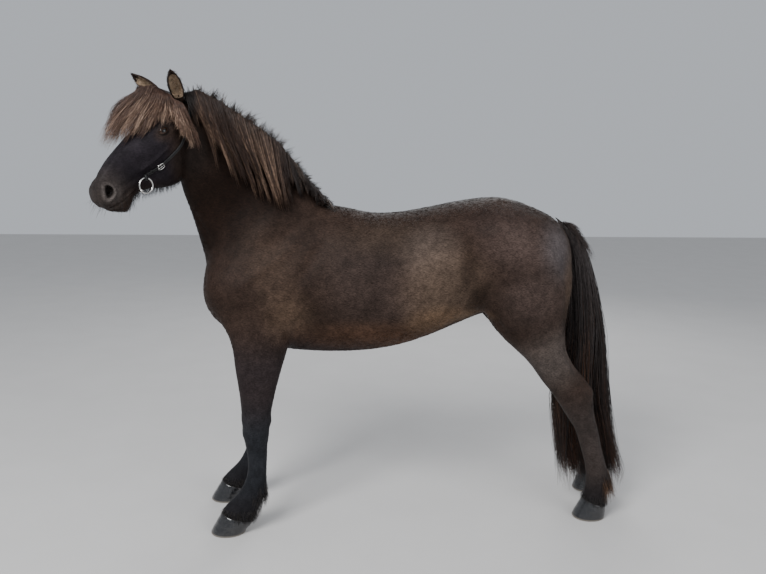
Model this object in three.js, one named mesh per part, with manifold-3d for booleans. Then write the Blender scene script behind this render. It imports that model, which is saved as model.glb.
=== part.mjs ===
// A life-size Icelandic horse standing square on the fore feet and stretched behind, the head turned to its left.
// Millimetres, +Z up. The horse looks along -X, its left side faces -Y, and it stands on z = 0.
import * as THREE from "three";
import { mergeVertices } from "three/addons/utils/BufferGeometryUtils.js";
import Module from "manifold-3d";

const wasm = await Module();
wasm.setup();

// Driving dimensions
const WITHERS_HEIGHT = 1385;
const GAP = 0.3; // clearance kept between parts that touch
const LEFT = -1;
const RIGHT = 1;

// Torso slices, tail-wards: [x, top z, bottom z, half width, height share of the widest point,
// top and bottom squareness]
const TORSO = [
  [-752, 1090, 1030, 45, 0.5, 2, 2],
  [-738, 1165, 955, 118, 0.5, 2, 2],
  [-705, 1225, 893, 163, 0.45, 2, 2.1],
  [-645, 1278, 845, 190, 0.44, 2, 2.2],
  [-540, 1335, 795, 205, 0.45, 1.9, 2.2],
  [-420, 1372, 764, 215, 0.45, 1.8, 2.1],
  [-300, WITHERS_HEIGHT, 752, 228, 0.46, 1.75, 2.1],
  [-180, 1373, 750, 246, 0.46, 1.9, 2.1],
  [-60, 1350, 757, 258, 0.46, 2.1, 2.1],
  [60, 1353, 778, 264, 0.46, 2.15, 2.1],
  [180, 1374, 815, 262, 0.47, 2.1, 2.1],
  [300, 1399, 862, 254, 0.5, 2.1, 2],
  [400, 1414, 902, 246, 0.56, 2.1, 2],
  [490, 1419, 925, 243, 0.56, 2.1, 2],
  [580, 1407, 930, 238, 0.54, 2, 2],
  [660, 1380, 940, 226, 0.5, 2, 2],
  [725, 1342, 960, 200, 0.5, 2, 2],
  [775, 1290, 1000, 155, 0.5, 2, 2],
  [800, 1225, 1065, 90, 0.5, 2, 2],
];

// Neck slices from the shoulder to the poll: [crest x, z, throat x, z, half width, sideways shift]
const NECK = [
  [-165, 1335, -640, 870, 140, 0],
  [-235, 1382, -690, 930, 176, 0],
  [-290, 1430, -738, 1040, 165, 0],
  [-360, 1495, -752, 1140, 138, -4],
  [-435, 1565, -768, 1215, 112, -14],
  [-510, 1624, -786, 1290, 95, -32],
  [-585, 1676, -802, 1360, 84, -58],
  [-660, 1722, -818, 1420, 78, -88],
  [-735, 1762, -826, 1475, 72, -116],
  [-800, 1788, -845, 1530, 60, -132],
];

// Head slices in its own frame, poll to lips: [distance, face line, jaw line, half width, widest share,
// squareness of face and jaw]
const HEAD = [
  [-30, -38, -95, 42, 0.55, 2, 2],
  [0, -8, -135, 60, 0.6, 2, 2],
  [40, 8, -190, 76, 0.64, 2.1, 2],
  [85, 13, -232, 88, 0.68, 2.2, 2],
  [130, 14, -252, 96, 0.7, 2.3, 2],
  [175, 12, -258, 97, 0.7, 2.3, 2.1],
  [220, 8, -256, 90, 0.68, 2.2, 2.2],
  [265, 8, -236, 79, 0.66, 2.1, 2.2],
  [310, 8, -202, 66, 0.64, 2.1, 2.2],
  [350, 6, -174, 57, 0.62, 2.2, 2.2],
  [390, 3, -163, 51, 0.6, 2.2, 2.2],
  [425, -3, -172, 51, 0.58, 2.2, 2.2],
  [455, -12, -180, 53, 0.56, 2.2, 2.2],
  [482, -26, -158, 50, 0.55, 2.2, 2.2],
  [502, -46, -132, 42, 0.52, 2, 2],
  [514, -70, -108, 24, 0.5, 2, 2],
];
const HEAD_POLL = [-845, -135, 1802];
const HEAD_PITCH = 42; // degrees below level
const HEAD_YAW = 46; // degrees towards the horse's left

// Foreleg and hoof slices, top down: [front x, z, rear x, z, half width, distance from the body's middle]
const FORELEG = [
  [-700, 1010, -430, 1010, 60, 108],
  [-690, 930, -405, 930, 72, 122],
  [-652, 862, -398, 862, 76, 136],
  [-634, 800, -410, 790, 68, 146],
  [-624, 710, -437, 702, 58, 152],
  [-610, 600, -463, 597, 50, 156],
  [-603, 520, -479, 518, 46, 158],
  [-601, 468, -486, 468, 49, 158],
  [-598, 425, -488, 425, 49, 158],
  [-590, 385, -494, 385, 42, 158],
  [-582, 325, -497, 325, 34, 158],
  [-584, 260, -500, 260, 34, 158],
  [-600, 210, -500, 208, 39, 158],
  [-622, 172, -508, 165, 43, 158],
  [-652, 140, -528, 112, 41, 158],
  [-678, 112, -547, 76, 45, 158],
  [-690, 88, -560, 48, 50, 158],
];
const FORE_HOOF = [
  [-690, 88, -560, 48, 50, 158],
  [-698, 75, -566, 36, 55, 158],
  [-735, 8, -592, 8, 65, 158],
  [-733, 0, -593, 0, 62, 158],
];
const FORE_CUT = 760;

// Hind leg and hoof slices, top down
const HINDLEG = [
  [400, 1250, 740, 1250, 60, 100],
  [395, 1150, 786, 1150, 90, 118],
  [396, 1050, 794, 1050, 106, 126],
  [410, 960, 782, 975, 108, 130],
  [440, 896, 775, 905, 101, 132],
  [490, 835, 774, 840, 90, 134],
  [545, 785, 778, 788, 80, 136],
  [598, 738, 796, 742, 71, 138],
  [640, 690, 828, 694, 63, 139],
  [676, 640, 872, 646, 56, 140],
  [716, 592, 905, 597, 52, 140],
  [751, 545, 917, 548, 51, 140],
  [782, 500, 923, 500, 50, 140],
  [812, 455, 934, 452, 44, 140],
  [842, 410, 950, 405, 39, 140],
  [868, 340, 968, 335, 36, 140],
  [894, 260, 993, 255, 37, 140],
  [905, 210, 1012, 205, 43, 140],
  [907, 172, 1017, 165, 45, 140],
  [905, 138, 1010, 122, 42, 140],
  [902, 112, 1004, 86, 45, 140],
  [900, 88, 1003, 54, 50, 140],
];
const HIND_HOOF = [
  [900, 88, 1003, 54, 50, 140],
  [893, 74, 1003, 42, 54, 140],
  [860, 8, 1001, 8, 62, 140],
  [862, 0, 999, 0, 59, 140],
];
const HIND_CUT = 900;

// How far the right feet stand ahead of or behind the left ones at the ground
const RIGHT_FORE_SHIFT = -38;
const RIGHT_HIND_SHIFT = 105;

const v3 = (x, y, z) => new THREE.Vector3(x, y, z);

// The values of a table of rows at a place between two rows, on a smooth curve through them.
function between(rows, place) {
  const i = Math.min(Math.floor(place), rows.length - 2);
  const t = place - i;
  const before = rows[Math.max(i - 1, 0)];
  const after = rows[Math.min(i + 2, rows.length - 1)];
  return rows[i].map((a, k) => {
    const b = rows[i + 1][k];
    const m0 = (b - before[k]) / 2;
    const m1 = (after[k] - a) / 2;
    const t2 = t * t;
    const t3 = t2 * t;
    return (2 * t3 - 3 * t2 + 1) * a + (t3 - 2 * t2 + t) * m0 + (3 * t2 - 2 * t3) * b + (t3 - t2) * m1;
  });
}

// Slices of a form, each with its top and bottom points, half width, sideways direction, widest share and squareness.
function slices(rows, toSlice, steps) {
  const list = [];
  const count = (rows.length - 1) * steps;
  for (let i = 0; i <= count; i++) list.push(toSlice(between(rows, i / steps)));
  return list;
}

function slicePoint(slice, angle) {
  const { top, bottom, half, side, widest, square } = slice;
  const middle = bottom.clone().lerp(top, widest);
  const s = Math.sin(angle);
  const c = Math.cos(angle);
  const n = s >= 0 ? square[0] : square[1];
  const up = s >= 0 ? top.clone().sub(middle) : middle.clone().sub(bottom);
  return middle
    .addScaledVector(side, half * Math.sign(c) * Math.abs(c) ** (2 / n))
    .addScaledVector(up, Math.sign(s) * Math.abs(s) ** (2 / n));
}

// A closed body through rings of points of equal number. The first and last rings are closed by a fan.
function skinOf(rings) {
  const sides = rings[0].length;
  const points = rings.flat();
  const faces = [];
  for (let r = 0; r < rings.length - 1; r++)
    for (let k = 0; k < sides; k++) {
      const a = r * sides + k;
      const b = r * sides + ((k + 1) % sides);
      faces.push(a, b, b + sides, a, b + sides, a + sides);
    }
  for (const [row, turn] of [
    [0, true],
    [rings.length - 1, false],
  ]) {
    const middle = points.length;
    const centre = v3(0, 0, 0);
    rings[row].forEach((p) => centre.addScaledVector(p, 1 / sides));
    points.push(centre);
    for (let k = 0; k < sides; k++) {
      const a = row * sides + k;
      const b = row * sides + ((k + 1) % sides);
      if (turn) faces.push(middle, b, a);
      else faces.push(middle, a, b);
    }
  }
  const geometry = new THREE.BufferGeometry();
  geometry.setAttribute("position", new THREE.Float32BufferAttribute(points.flatMap((p) => [p.x, p.y, p.z]), 3));
  geometry.setIndex(faces);
  return geometry;
}

// A manifold solid of a geometry, turned the right way out.
function solid(geometry) {
  const plain = geometry.clone();
  plain.deleteAttribute("normal");
  plain.deleteAttribute("uv");
  const merged = mergeVertices(plain, 1e-3);
  const triVerts = new Uint32Array(merged.index.array);
  const make = () =>
    new wasm.Manifold(new wasm.Mesh({ numProp: 3, vertProperties: merged.attributes.position.array, triVerts }));
  const made = make();
  if (made.volume() >= 0) return made;
  for (let i = 0; i < triVerts.length; i += 3) {
    [triVerts[i + 1], triVerts[i + 2]] = [triVerts[i + 2], triVerts[i + 1]];
  }
  return make();
}

// A body through slices. Swells push its surface out, or in where push is below 0, on both sides alike.
function form(list, sides, swells = [], grow = 0) {
  const rings = list.map((slice) => {
    const middle = slice.bottom.clone().lerp(slice.top, slice.widest);
    return Array.from({ length: sides }, (_, k) => {
      const p = slicePoint(slice, ((k + 0.5) / sides) * 2 * Math.PI);
      const out = p.clone().sub(middle).normalize();
      let push = grow;
      for (const { at, reach, push: most } of swells) {
        const far =
          ((p.x - at[0]) / reach[0]) ** 2 +
          ((Math.abs(p.y) - at[1]) / reach[1]) ** 2 +
          ((p.z - at[2]) / reach[2]) ** 2;
        push += most * Math.exp(-far);
      }
      return p.addScaledVector(out, push);
    });
  });
  return solid(skinOf(rings));
}

const joined = (bodies) => bodies.reduce((all, body) => all.add(body));

// A box between two corners, as a solid.
function block(low, high) {
  const size = v3(...high).sub(v3(...low));
  const middle = v3(...low).addScaledVector(size, 0.5);
  return solid(new THREE.BoxGeometry(size.x, size.y, size.z).translate(middle.x, middle.y, middle.z));
}

// All that lies beyond a plane on the side that its normal points to, out to a few metres.
const REACH = 8000;
function beyond(point, normal) {
  const away = normal.clone().normalize();
  const box = new THREE.BoxGeometry(REACH, REACH, REACH).translate(0, 0, REACH / 2 + GAP / 2);
  box.applyQuaternion(new THREE.Quaternion().setFromUnitVectors(v3(0, 0, 1), away));
  return solid(box.translate(point.x, point.y, point.z));
}
function parted(body, point, normal) {
  return [body.intersect(beyond(point, normal)), body.intersect(beyond(point, normal.clone().negate()))];
}

const group = new THREE.Group();
group.name = "icelandic_horse";

const paint = (color, roughness, metalness = 0) => new THREE.MeshStandardMaterial({ color, roughness, metalness });
const COAT = paint(0x3f3029, 0.8);
const FACE = paint(0x2b2729, 0.75);
const HAIR = paint(0x4a342a, 0.6);
const TAIL_HAIR = paint(0x241b19, 0.6);
const HORN = paint(0x15130f, 0.25);
const EYE = paint(0x120c08, 0.1);
const STRAP_BLACK = paint(0x0e0d0d, 0.45);
const STEEL = paint(0xc9c7c0, 0.3, 0.9);

function geometryOf(body) {
  const mesh = body.getMesh();
  const positions = new Float32Array(mesh.numVert * 3);
  for (let i = 0; i < mesh.numVert; i++)
    positions.set(mesh.vertProperties.subarray(i * mesh.numProp, i * mesh.numProp + 3), i * 3);
  const geometry = new THREE.BufferGeometry();
  geometry.setAttribute("position", new THREE.BufferAttribute(positions, 3));
  geometry.setIndex(new THREE.BufferAttribute(mesh.triVerts, 1));
  geometry.computeVertexNormals();
  return geometry;
}

// Adds a node with a solid's largest closed surface.
function addNode(name, body, material) {
  const pieces = body.decompose().sort((a, b) => b.volume() - a.volume());
  const node = new THREE.Mesh(geometryOf(pieces[0]), material);
  node.name = name;
  group.add(node);
}

// Torso
const TORSO_SWELLS = [
  { at: [-690, 125, 1030], reach: [75, 70, 90], push: 16 }, // point of the shoulder
  { at: [-590, 200, 980], reach: [110, 90, 150], push: 20 }, // shoulder and upper arm
  { at: [-465, 200, 920], reach: [70, 80, 100], push: 18 }, // muscle above the elbow
  { at: [-350, 210, 870], reach: [60, 80, 90], push: -12 }, // hollow behind the elbow
  { at: [460, 225, 1310], reach: [60, 60, 55], push: 12 }, // point of the hip
  { at: [345, 250, 1180], reach: [90, 80, 110], push: -16 }, // flank hollow
  { at: [640, 235, 1080], reach: [130, 80, 150], push: 12 }, // thigh
];
const torsoSlices = TORSO.map(([x, top, bottom, half, widest, nTop, nBottom]) => ({
  top: v3(x, 0, top),
  bottom: v3(x, 0, bottom),
  half,
  side: v3(0, 1, 0),
  widest,
  square: [nTop, nBottom],
}));

// Neck
const NECK_WIDEST = 0.42; // height share of the widest point
const NECK_SQUARE = [1.7, 2]; // squareness above and below it
const neckSlices = NECK.map(([crestX, crestZ, throatX, throatZ, half, shift]) => ({
  top: v3(crestX, shift, crestZ),
  bottom: v3(throatX, shift, throatZ),
  half,
  side: v3(0, 1, 0),
  widest: NECK_WIDEST,
  square: NECK_SQUARE,
}));
neckSlices.forEach((slice, i) => {
  const before = neckSlices[Math.max(i - 1, 0)];
  const after = neckSlices[Math.min(i + 1, neckSlices.length - 1)];
  const along = after.top.clone().add(after.bottom).sub(before.top).sub(before.bottom);
  slice.side = slice.top.clone().sub(slice.bottom).cross(along).normalize();
  if (slice.side.y < 0) slice.side.negate();
});

// Head. Its frame has x from the poll to the lips, y to the horse's left and z out of the face.
const headFrame = new THREE.Matrix4();
{
  const pitch = THREE.MathUtils.degToRad(HEAD_PITCH);
  const yaw = THREE.MathUtils.degToRad(HEAD_YAW);
  const along = v3(-Math.cos(pitch) * Math.cos(yaw), -Math.cos(pitch) * Math.sin(yaw), -Math.sin(pitch));
  const left = v3(Math.sin(yaw), -Math.cos(yaw), 0);
  headFrame.makeBasis(along, left, along.clone().cross(left));
  headFrame.setPosition(...HEAD_POLL);
}
const inHead = (body) => body.transform(headFrame.elements);
const headSlices = slices(HEAD, ([a, face, jaw, half, widest, nFace, nJaw]) => ({
  top: v3(a, 0, face),
  bottom: v3(a, 0, jaw),
  half,
  side: v3(0, 1, 0),
  widest,
  square: [nFace, nJaw],
}), 1);
const HEAD_SWELLS = [
  { at: [135, 84, -12], reach: [34, 26, 24], push: 8 }, // brow
  { at: [190, 88, -62], reach: [55, 30, 24], push: 6 }, // cheekbone
  { at: [130, 78, -180], reach: [60, 50, 60], push: 9 }, // jowl
  { at: [80, 74, -20], reach: [26, 30, 30], push: -7 }, // hollow over the eye
  { at: [300, 60, -130], reach: [60, 40, 40], push: -7 }, // cheek before the jowl
  { at: [470, 46, -52], reach: [26, 30, 26], push: 9 }, // nostril
  { at: [470, 20, -150], reach: [26, 40, 20], push: 6 }, // chin
];
const HEAD_SIDES = 22;
const headForm = (grow) => form(headSlices, HEAD_SIDES, HEAD_SWELLS, grow);

const LEG_SQUARE = 2.1;
// Legs. The right feet stand apart from the left ones by a shift that grows towards the ground.
function legForm(rows, side, shift, reach, sides, grow = 0) {
  const list = slices(rows, ([frontX, frontZ, rearX, rearZ, half, out]) => {
    const moved = (x, z) => x + shift * Math.max(0, 1 - z / reach);
    return {
      top: v3(moved(frontX, frontZ), side * out, frontZ),
      bottom: v3(moved(rearX, rearZ), side * out, rearZ),
      half,
      side: v3(0, 1, 0),
      widest: 0.5,
      square: [LEG_SQUARE, LEG_SQUARE],
    };
  }, 1);
  return form(list, sides, [], grow);
}
const FORE_REACH = 862; // height at which the right foreleg has no shift
const HIND_REACH = 1050;
const LEG_SIDES = 12;
const LEGS = [
  { name: "fore_left", rows: FORELEG, hoof: FORE_HOOF, side: LEFT, shift: 0, reach: FORE_REACH },
  { name: "fore_right", rows: FORELEG, hoof: FORE_HOOF, side: RIGHT, shift: RIGHT_FORE_SHIFT, reach: FORE_REACH },
  { name: "hind_left", rows: HINDLEG, hoof: HIND_HOOF, side: LEFT, shift: 0, reach: HIND_REACH },
  { name: "hind_right", rows: HINDLEG, hoof: HIND_HOOF, side: RIGHT, shift: RIGHT_HIND_SHIFT, reach: HIND_REACH },
];
const legOf = ({ rows, side, shift, reach }, grow) => legForm(rows, side, shift, reach, LEG_SIDES, grow);

// The flesh below the head in one solid, and the same with the head, both as it is and with clearance around it
const TRUNK_SIDES = 22;
function trunkWith(grow) {
  const torso = form(torsoSlices, TRUNK_SIDES, TORSO_SWELLS, grow);
  const neck = form(neckSlices, TRUNK_SIDES, [], grow);
  return joined([torso, neck, ...LEGS.map((l) => legOf(l, grow))]);
}
const trunk = trunkWith(0);
const grownHead = inHead(headForm(GAP));
const fleshClear = trunkWith(GAP).add(grownHead);

// Where a line that comes in from outside first meets the flesh, lifted off it.
const fleshMesh = new THREE.Mesh(geometryOf(trunk.add(inHead(headForm(0)))), new THREE.MeshBasicMaterial());
const FAR = 700;
function touch(inside, outward) {
  const start = inside.clone().addScaledVector(outward, FAR);
  const [hit] = new THREE.Raycaster(start, outward.clone().negate(), 0, FAR).intersectObject(fleshMesh);
  return hit ? { point: hit.point, normal: hit.face.normal } : { point: inside.clone(), normal: outward.clone() };
}
const onFlesh = (inside, outward, lift) => touch(inside, outward).point.addScaledVector(outward, lift);

// A flat lock of hair along a path. Its section is a lens, and it narrows to a tip.
const LOCK_TIP = 1.2; // least half width and half thickness
const ROOT_WIDTH = 0.55; // width at the root, as a share of the full width
const WIDENING = 2.2; // how fast a lock reaches its full width
const TIP_POWER = 2.2; // how late it narrows again
function lock(path, outward, width, thick) {
  const last = path.length - 1;
  const rings = path.map((p, i) => {
    const along = path[Math.min(i + 1, last)].clone().sub(path[Math.max(i - 1, 0)]).normalize();
    const out = outward[i].clone().addScaledVector(along, -outward[i].dot(along)).normalize();
    const across = along.clone().cross(out);
    const share = i / last;
    const taper = Math.min(1, ROOT_WIDTH + share * WIDENING) * Math.sqrt(Math.max(1 - share ** TIP_POWER, 0));
    const w = Math.max((width / 2) * taper, LOCK_TIP);
    const t = Math.max((thick / 2) * Math.min(1, taper * 1.3), LOCK_TIP);
    return [
      p.clone().addScaledVector(across, w),
      p.clone().addScaledVector(out, t),
      p.clone().addScaledVector(across, -w),
      p.clone().addScaledVector(out, -t),
    ];
  });
  return solid(skinOf(rings));
}

// Numbers from 0 to 1 that come out the same on every run.
function seeded(seed) {
  let state = seed;
  return () => {
    state = (state * 1664525 + 1013904223) % 4294967296;
    return state / 4294967296;
  };
}

// The cut between neck and torso runs from before the withers to the chest.
const NECK_CUT = { at: v3(-520, 0, 1250), towards: v3(-0.62, 0, 0.78) };
const [raised, body] = parted(trunk, NECK_CUT.at, NECK_CUT.towards);
addNode("neck", raised.subtract(grownHead), COAT);

// Torso and legs, which are cut from the body by boxes: before FORE_END, and behind HIND_START
const FORE_END = -396;
const HIND_START = 398;
const BODY_END = 1300;
const SIDEWAYS = 400;
const UNDER = -50; // a height under the ground
const foreBox = (low, high) => block([-900, -SIDEWAYS, low], [FORE_END, SIDEWAYS, high]);
const hindBox = (low, high) => block([HIND_START, -SIDEWAYS, low], [BODY_END, SIDEWAYS, high]);
const sideBox = (side) => block([-2000, side === LEFT ? -500 : 0, UNDER], [2000, side === LEFT ? 0 : 500, 1500]);
const legless = body.subtract(foreBox(UNDER, FORE_CUT)).subtract(hindBox(UNDER, HIND_CUT));
addNode("torso", legless.subtract(grownHead), COAT);
const KNEE_CUT = 388;
const HOCK_CUT = 462;
const HOOF_SIDES = 14;
const HOOF_TOP = 20; // points of a hoof above this height lie in its upper edge, a gap below the leg
for (const leg of LEGS) {
  const fore = leg.rows === FORELEG;
  const own = body.intersect(sideBox(leg.side));
  const [box, cut, top, upper, lower] = fore
    ? [foreBox, KNEE_CUT, FORE_CUT, "forearm_", "cannon_"]
    : [hindBox, HOCK_CUT, HIND_CUT, "thigh_", "cannon_"];
  addNode(upper + leg.name, own.intersect(box(cut, top - GAP)), COAT);
  addNode(lower + leg.name, own.intersect(box(UNDER, cut - GAP)), COAT);
  const lowered = leg.hoof.map((row) => row.map((n, k) => ((k === 1 || k === 3) && n > HOOF_TOP ? n - GAP : n)));
  addNode("hoof_" + leg.name, legForm(lowered, leg.side, leg.shift, leg.reach, HOOF_SIDES), HORN);
}

// Head with sockets, nostrils and a mouth line
const EYE_AT = [170, 74, -40];
const EYE_RADIUS = 22;
const LID = 4;
const ball = (at, radius) => solid(new THREE.SphereGeometry(radius, 10, 8).translate(...at));
// A long rounded body about a middle, with its half sizes along, across and up, leant by an angle about y or z
function pebble([x, y, z], [along, across, up], leanZ = 0, leanY = 0) {
  const geometry = new THREE.SphereGeometry(1, 8, 6).scale(along, across, up);
  return solid(geometry.rotateY(leanY).rotateZ(leanZ).translate(x, y, z));
}
const SLIT = { ahead: 2, size: [19, 16, 9.5], lean: 0.12 };
const NOSTRIL = { at: [471, 56, -56], size: [15, 17, 12], leanZ: -0.6, leanY: -0.5 };
const MOUTH = { from: [378, -134], to: [530, -112], height: 3, inner: 34, front: 494 };
const headFlesh = () => {
  let head = headForm(0);
  for (const side of [1, -1]) {
    const eye = [EYE_AT[0], side * EYE_AT[1], EYE_AT[2]];
    head = head.add(ball(eye, EYE_RADIUS + LID)).subtract(ball(eye, EYE_RADIUS + GAP));
    const slit = [EYE_AT[0] + SLIT.ahead, side * (EYE_AT[1] + EYE_RADIUS), EYE_AT[2]];
    const nostril = [NOSTRIL.at[0], side * NOSTRIL.at[1], NOSTRIL.at[2]];
    head = head.subtract(pebble(slit, SLIT.size, 0, SLIT.lean));
    head = head.subtract(pebble(nostril, NOSTRIL.size, side * NOSTRIL.leanZ, NOSTRIL.leanY));
  }
  const { from, to, height, inner, front } = MOUTH;
  const slope = Math.atan2(to[1] - from[1], to[0] - from[0]);
  const slab = new THREE.BoxGeometry(to[0] - from[0], 200, height).rotateY(-slope);
  slab.translate((from[0] + to[0]) / 2, 0, (from[1] + to[1]) / 2);
  return head.subtract(solid(slab).subtract(block([0, -inner, -300], [front, inner, 0])));
};
addNode("head", inHead(headFlesh()), FACE);

// Ears: a leaf scooped out to a cup. Its own frame has z up the ear and x out of its mouth.
const EAR_OUTER = [
  [-18, 12, -12, 15],
  [2, 15, -17, 21],
  [28, 14, -19, 27],
  [60, 12, -17, 28],
  [90, 9, -13, 22],
  [112, 6, -8, 13],
  [124, 3, -4, 6],
  [131, 1, -1, 1.5],
];
const EAR_SCOOP = [
  [14, 44, 4, 5],
  [30, 44, -10, 17],
  [60, 44, -11, 21],
  [90, 44, -7, 16],
  [108, 44, -3, 8],
  [121, 44, 0.5, 2],
];
// Which way each ear points and which way its mouth turns, in the head's frame
const EARS = {
  left: { root: [14, 56, -4], lean: [-0.05, 0.45, 1], mouth: [0.6, 0.8, 0] },
  right: { root: [14, -56, -4], lean: [0.06, -0.66, 1], mouth: [0.95, -0.2, 0] },
};
const earForm = (rows, sides, grow = 0) =>
  form(
    rows.map(([up, front, back, half]) => ({
      top: v3(front, 0, up),
      bottom: v3(back, 0, up),
      half,
      side: v3(0, 1, 0),
      widest: 0.5,
      square: [2, 2],
    })),
    sides,
    [],
    grow,
  );
function earOf(name, grow = 0) {
  const up = v3(...EARS[name].lean).normalize();
  const mouth = v3(...EARS[name].mouth);
  mouth.addScaledVector(up, -mouth.dot(up)).normalize();
  const turn = new THREE.Matrix4().makeBasis(mouth, up.clone().cross(mouth), up).setPosition(...EARS[name].root);
  let ear = earForm(EAR_OUTER, 10, grow);
  if (grow === 0) ear = ear.subtract(earForm(EAR_SCOOP, 8));
  return inHead(ear.transform(turn.elements));
}
const earsClear = earOf("left", GAP).add(earOf("right", GAP));
for (const [name, side] of [
  ["left", 1],
  ["right", -1],
]) {
  addNode("ear_" + name, earOf(name).subtract(fleshClear), COAT);
  addNode("eye_" + name, inHead(ball([EYE_AT[0], side * EYE_AT[1], EYE_AT[2]], EYE_RADIUS)), EYE);
}

// Crest line of neck and withers: the point on top of the neck above x.
function crestAt(x) {
  const rows = [[-60, 1350, 0, 0, 0, 0], [-123, 1362, 0, 0, 0, 0], [-180, 1373, 0, 0, 0, 0], ...NECK.slice(1)];
  let i = 0;
  while (i < rows.length - 2 && x < rows[i + 1][0]) i++;
  const [a, b] = [rows[i], rows[i + 1]];
  const t = (x - a[0]) / (b[0] - a[0]);
  return v3(x, a[5] + (b[5] - a[5]) * t, a[1] + (b[1] - a[1]) * t);
}
const mix = THREE.MathUtils.lerp;

// Mane: locks rise from a low ridge along the crest and fall over the side of the neck: [x, length of the fall]
const MANE_FALL = [
  [-770, 250],
  [-737, 290],
  [-660, 320],
  [-560, 310],
  [-470, 315],
  [-400, 215],
  [-350, 150],
  [-290, 90],
  [-230, 60],
];
const MANE_RISE = 52;
const FULL_RISE_FROM = 150; // shorter hair rises less
const LOCK_THICK = 13;
function fallAt(x) {
  let i = 0;
  while (i < MANE_FALL.length - 2 && x > MANE_FALL[i + 1][0]) i++;
  const [a, b] = [MANE_FALL[i], MANE_FALL[i + 1]];
  return mix(a[1], b[1], THREE.MathUtils.clamp((x - a[0]) / (b[0] - a[0]), 0, 1));
}
function maneFall(x, side, length, lift, random) {
  const root = crestAt(x);
  const rise = MANE_RISE * Math.min(length / FULL_RISE_FROM, 1) * (0.75 + 0.4 * random());
  const drift = length * (0.12 + 0.14 * random());
  const path = [
    root.clone().add(v3(0, 0, -14)),
    root.clone().add(v3(-2, side * 6, rise * 0.7)),
    root.clone().add(v3(4, side * 26, rise * 0.95)),
  ];
  const outward = [v3(0, -side, 0.2), v3(0, -side, 0.5), v3(0, side * 0.2, 1)];
  const steps = 3;
  for (let k = 1; k <= steps; k++) {
    const share = k / steps;
    const inside = v3(root.x + 6 + drift * share, root.y, root.z + rise * 0.4 - length * share);
    const away = lift + 10 * Math.sin(share * Math.PI) + (k === 1 ? 12 : 0);
    const p = onFlesh(inside, v3(0, side, 0.1).normalize(), away);
    p.y = side * Math.max(side * p.y, side * root.y + 34 + 20 * share);
    path.push(p);
    outward.push(v3(0, side, 0.25).normalize());
  }
  return { path, outward };
}
const maneRandom = seeded(15);
const maneRidge = form(
  [-778, -735, -660, -585, -510, -435, -360, -290].map((x) => {
    const p = crestAt(x);
    const share = x < -300 ? 1 : 0.45;
    return {
      top: p.clone().add(v3(0, 0, 20 * share)),
      bottom: p.clone().add(v3(0, 0, -30)),
      half: 15 * share,
      side: v3(0, 1, 0),
      widest: 0.45,
      square: [1.5, 1.5],
    };
  }),
  8,
);
const maneLocks = [];
const MANE_FROM = -762;
const MANE_TO = -225;
const LEFT_LOCKS = 13;
const RIGHT_LOCKS = 4;
const TOP_LOCKS = 9;
const MANE_LOCK_WIDTH = 76;
const RIGHT_LONGEST = 190; // the mane falls to the left, and little of it lies on the right
const TALL = 82; // standing hair on the crest, and behind SHORT_FROM, near the withers, a short stubble
const STUBBLE = 36;
const SHORT_FROM = -330;
for (let i = 0; i < LEFT_LOCKS; i++) {
  const x = mix(MANE_FROM, MANE_TO, (i + 0.2 + 0.6 * maneRandom()) / LEFT_LOCKS);
  const length = fallAt(x) * (0.78 + 0.3 * maneRandom());
  const { path, outward } = maneFall(x, LEFT, length, 9 + 9 * (i % 2), maneRandom);
  maneLocks.push(lock(path, outward, MANE_LOCK_WIDTH + 14 * maneRandom(), LOCK_THICK));
}
for (let i = 0; i < RIGHT_LOCKS; i++) {
  const x = mix(MANE_FROM + 10, MANE_TO - 60, (i + 0.2 + 0.6 * maneRandom()) / RIGHT_LOCKS);
  const length = Math.min(fallAt(x), RIGHT_LONGEST) * (0.6 + 0.4 * maneRandom());
  const { path, outward } = maneFall(x, RIGHT, length, 10 + 8 * (i % 2), maneRandom);
  maneLocks.push(lock(path, outward, MANE_LOCK_WIDTH, LOCK_THICK));
}
for (let i = 0; i < TOP_LOCKS; i++) {
  const x = mix(MANE_FROM, MANE_TO + 10, (i + 0.5) / TOP_LOCKS);
  const root = crestAt(x);
  const tall = (x < SHORT_FROM ? TALL : STUBBLE) * (0.75 + 0.35 * maneRandom());
  const lean = 14 * (maneRandom() - 0.3);
  const sway = 12 * (maneRandom() - 0.5);
  const path = [-14, 0.35 * tall, 0.7 * tall, tall].map((up, k) =>
    root.clone().add(v3(lean * k * 0.5, sway * k * 0.4, up)),
  );
  maneLocks.push(lock(path, path.map(() => v3(0, -1, 0)), 46, 12));
}

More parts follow.
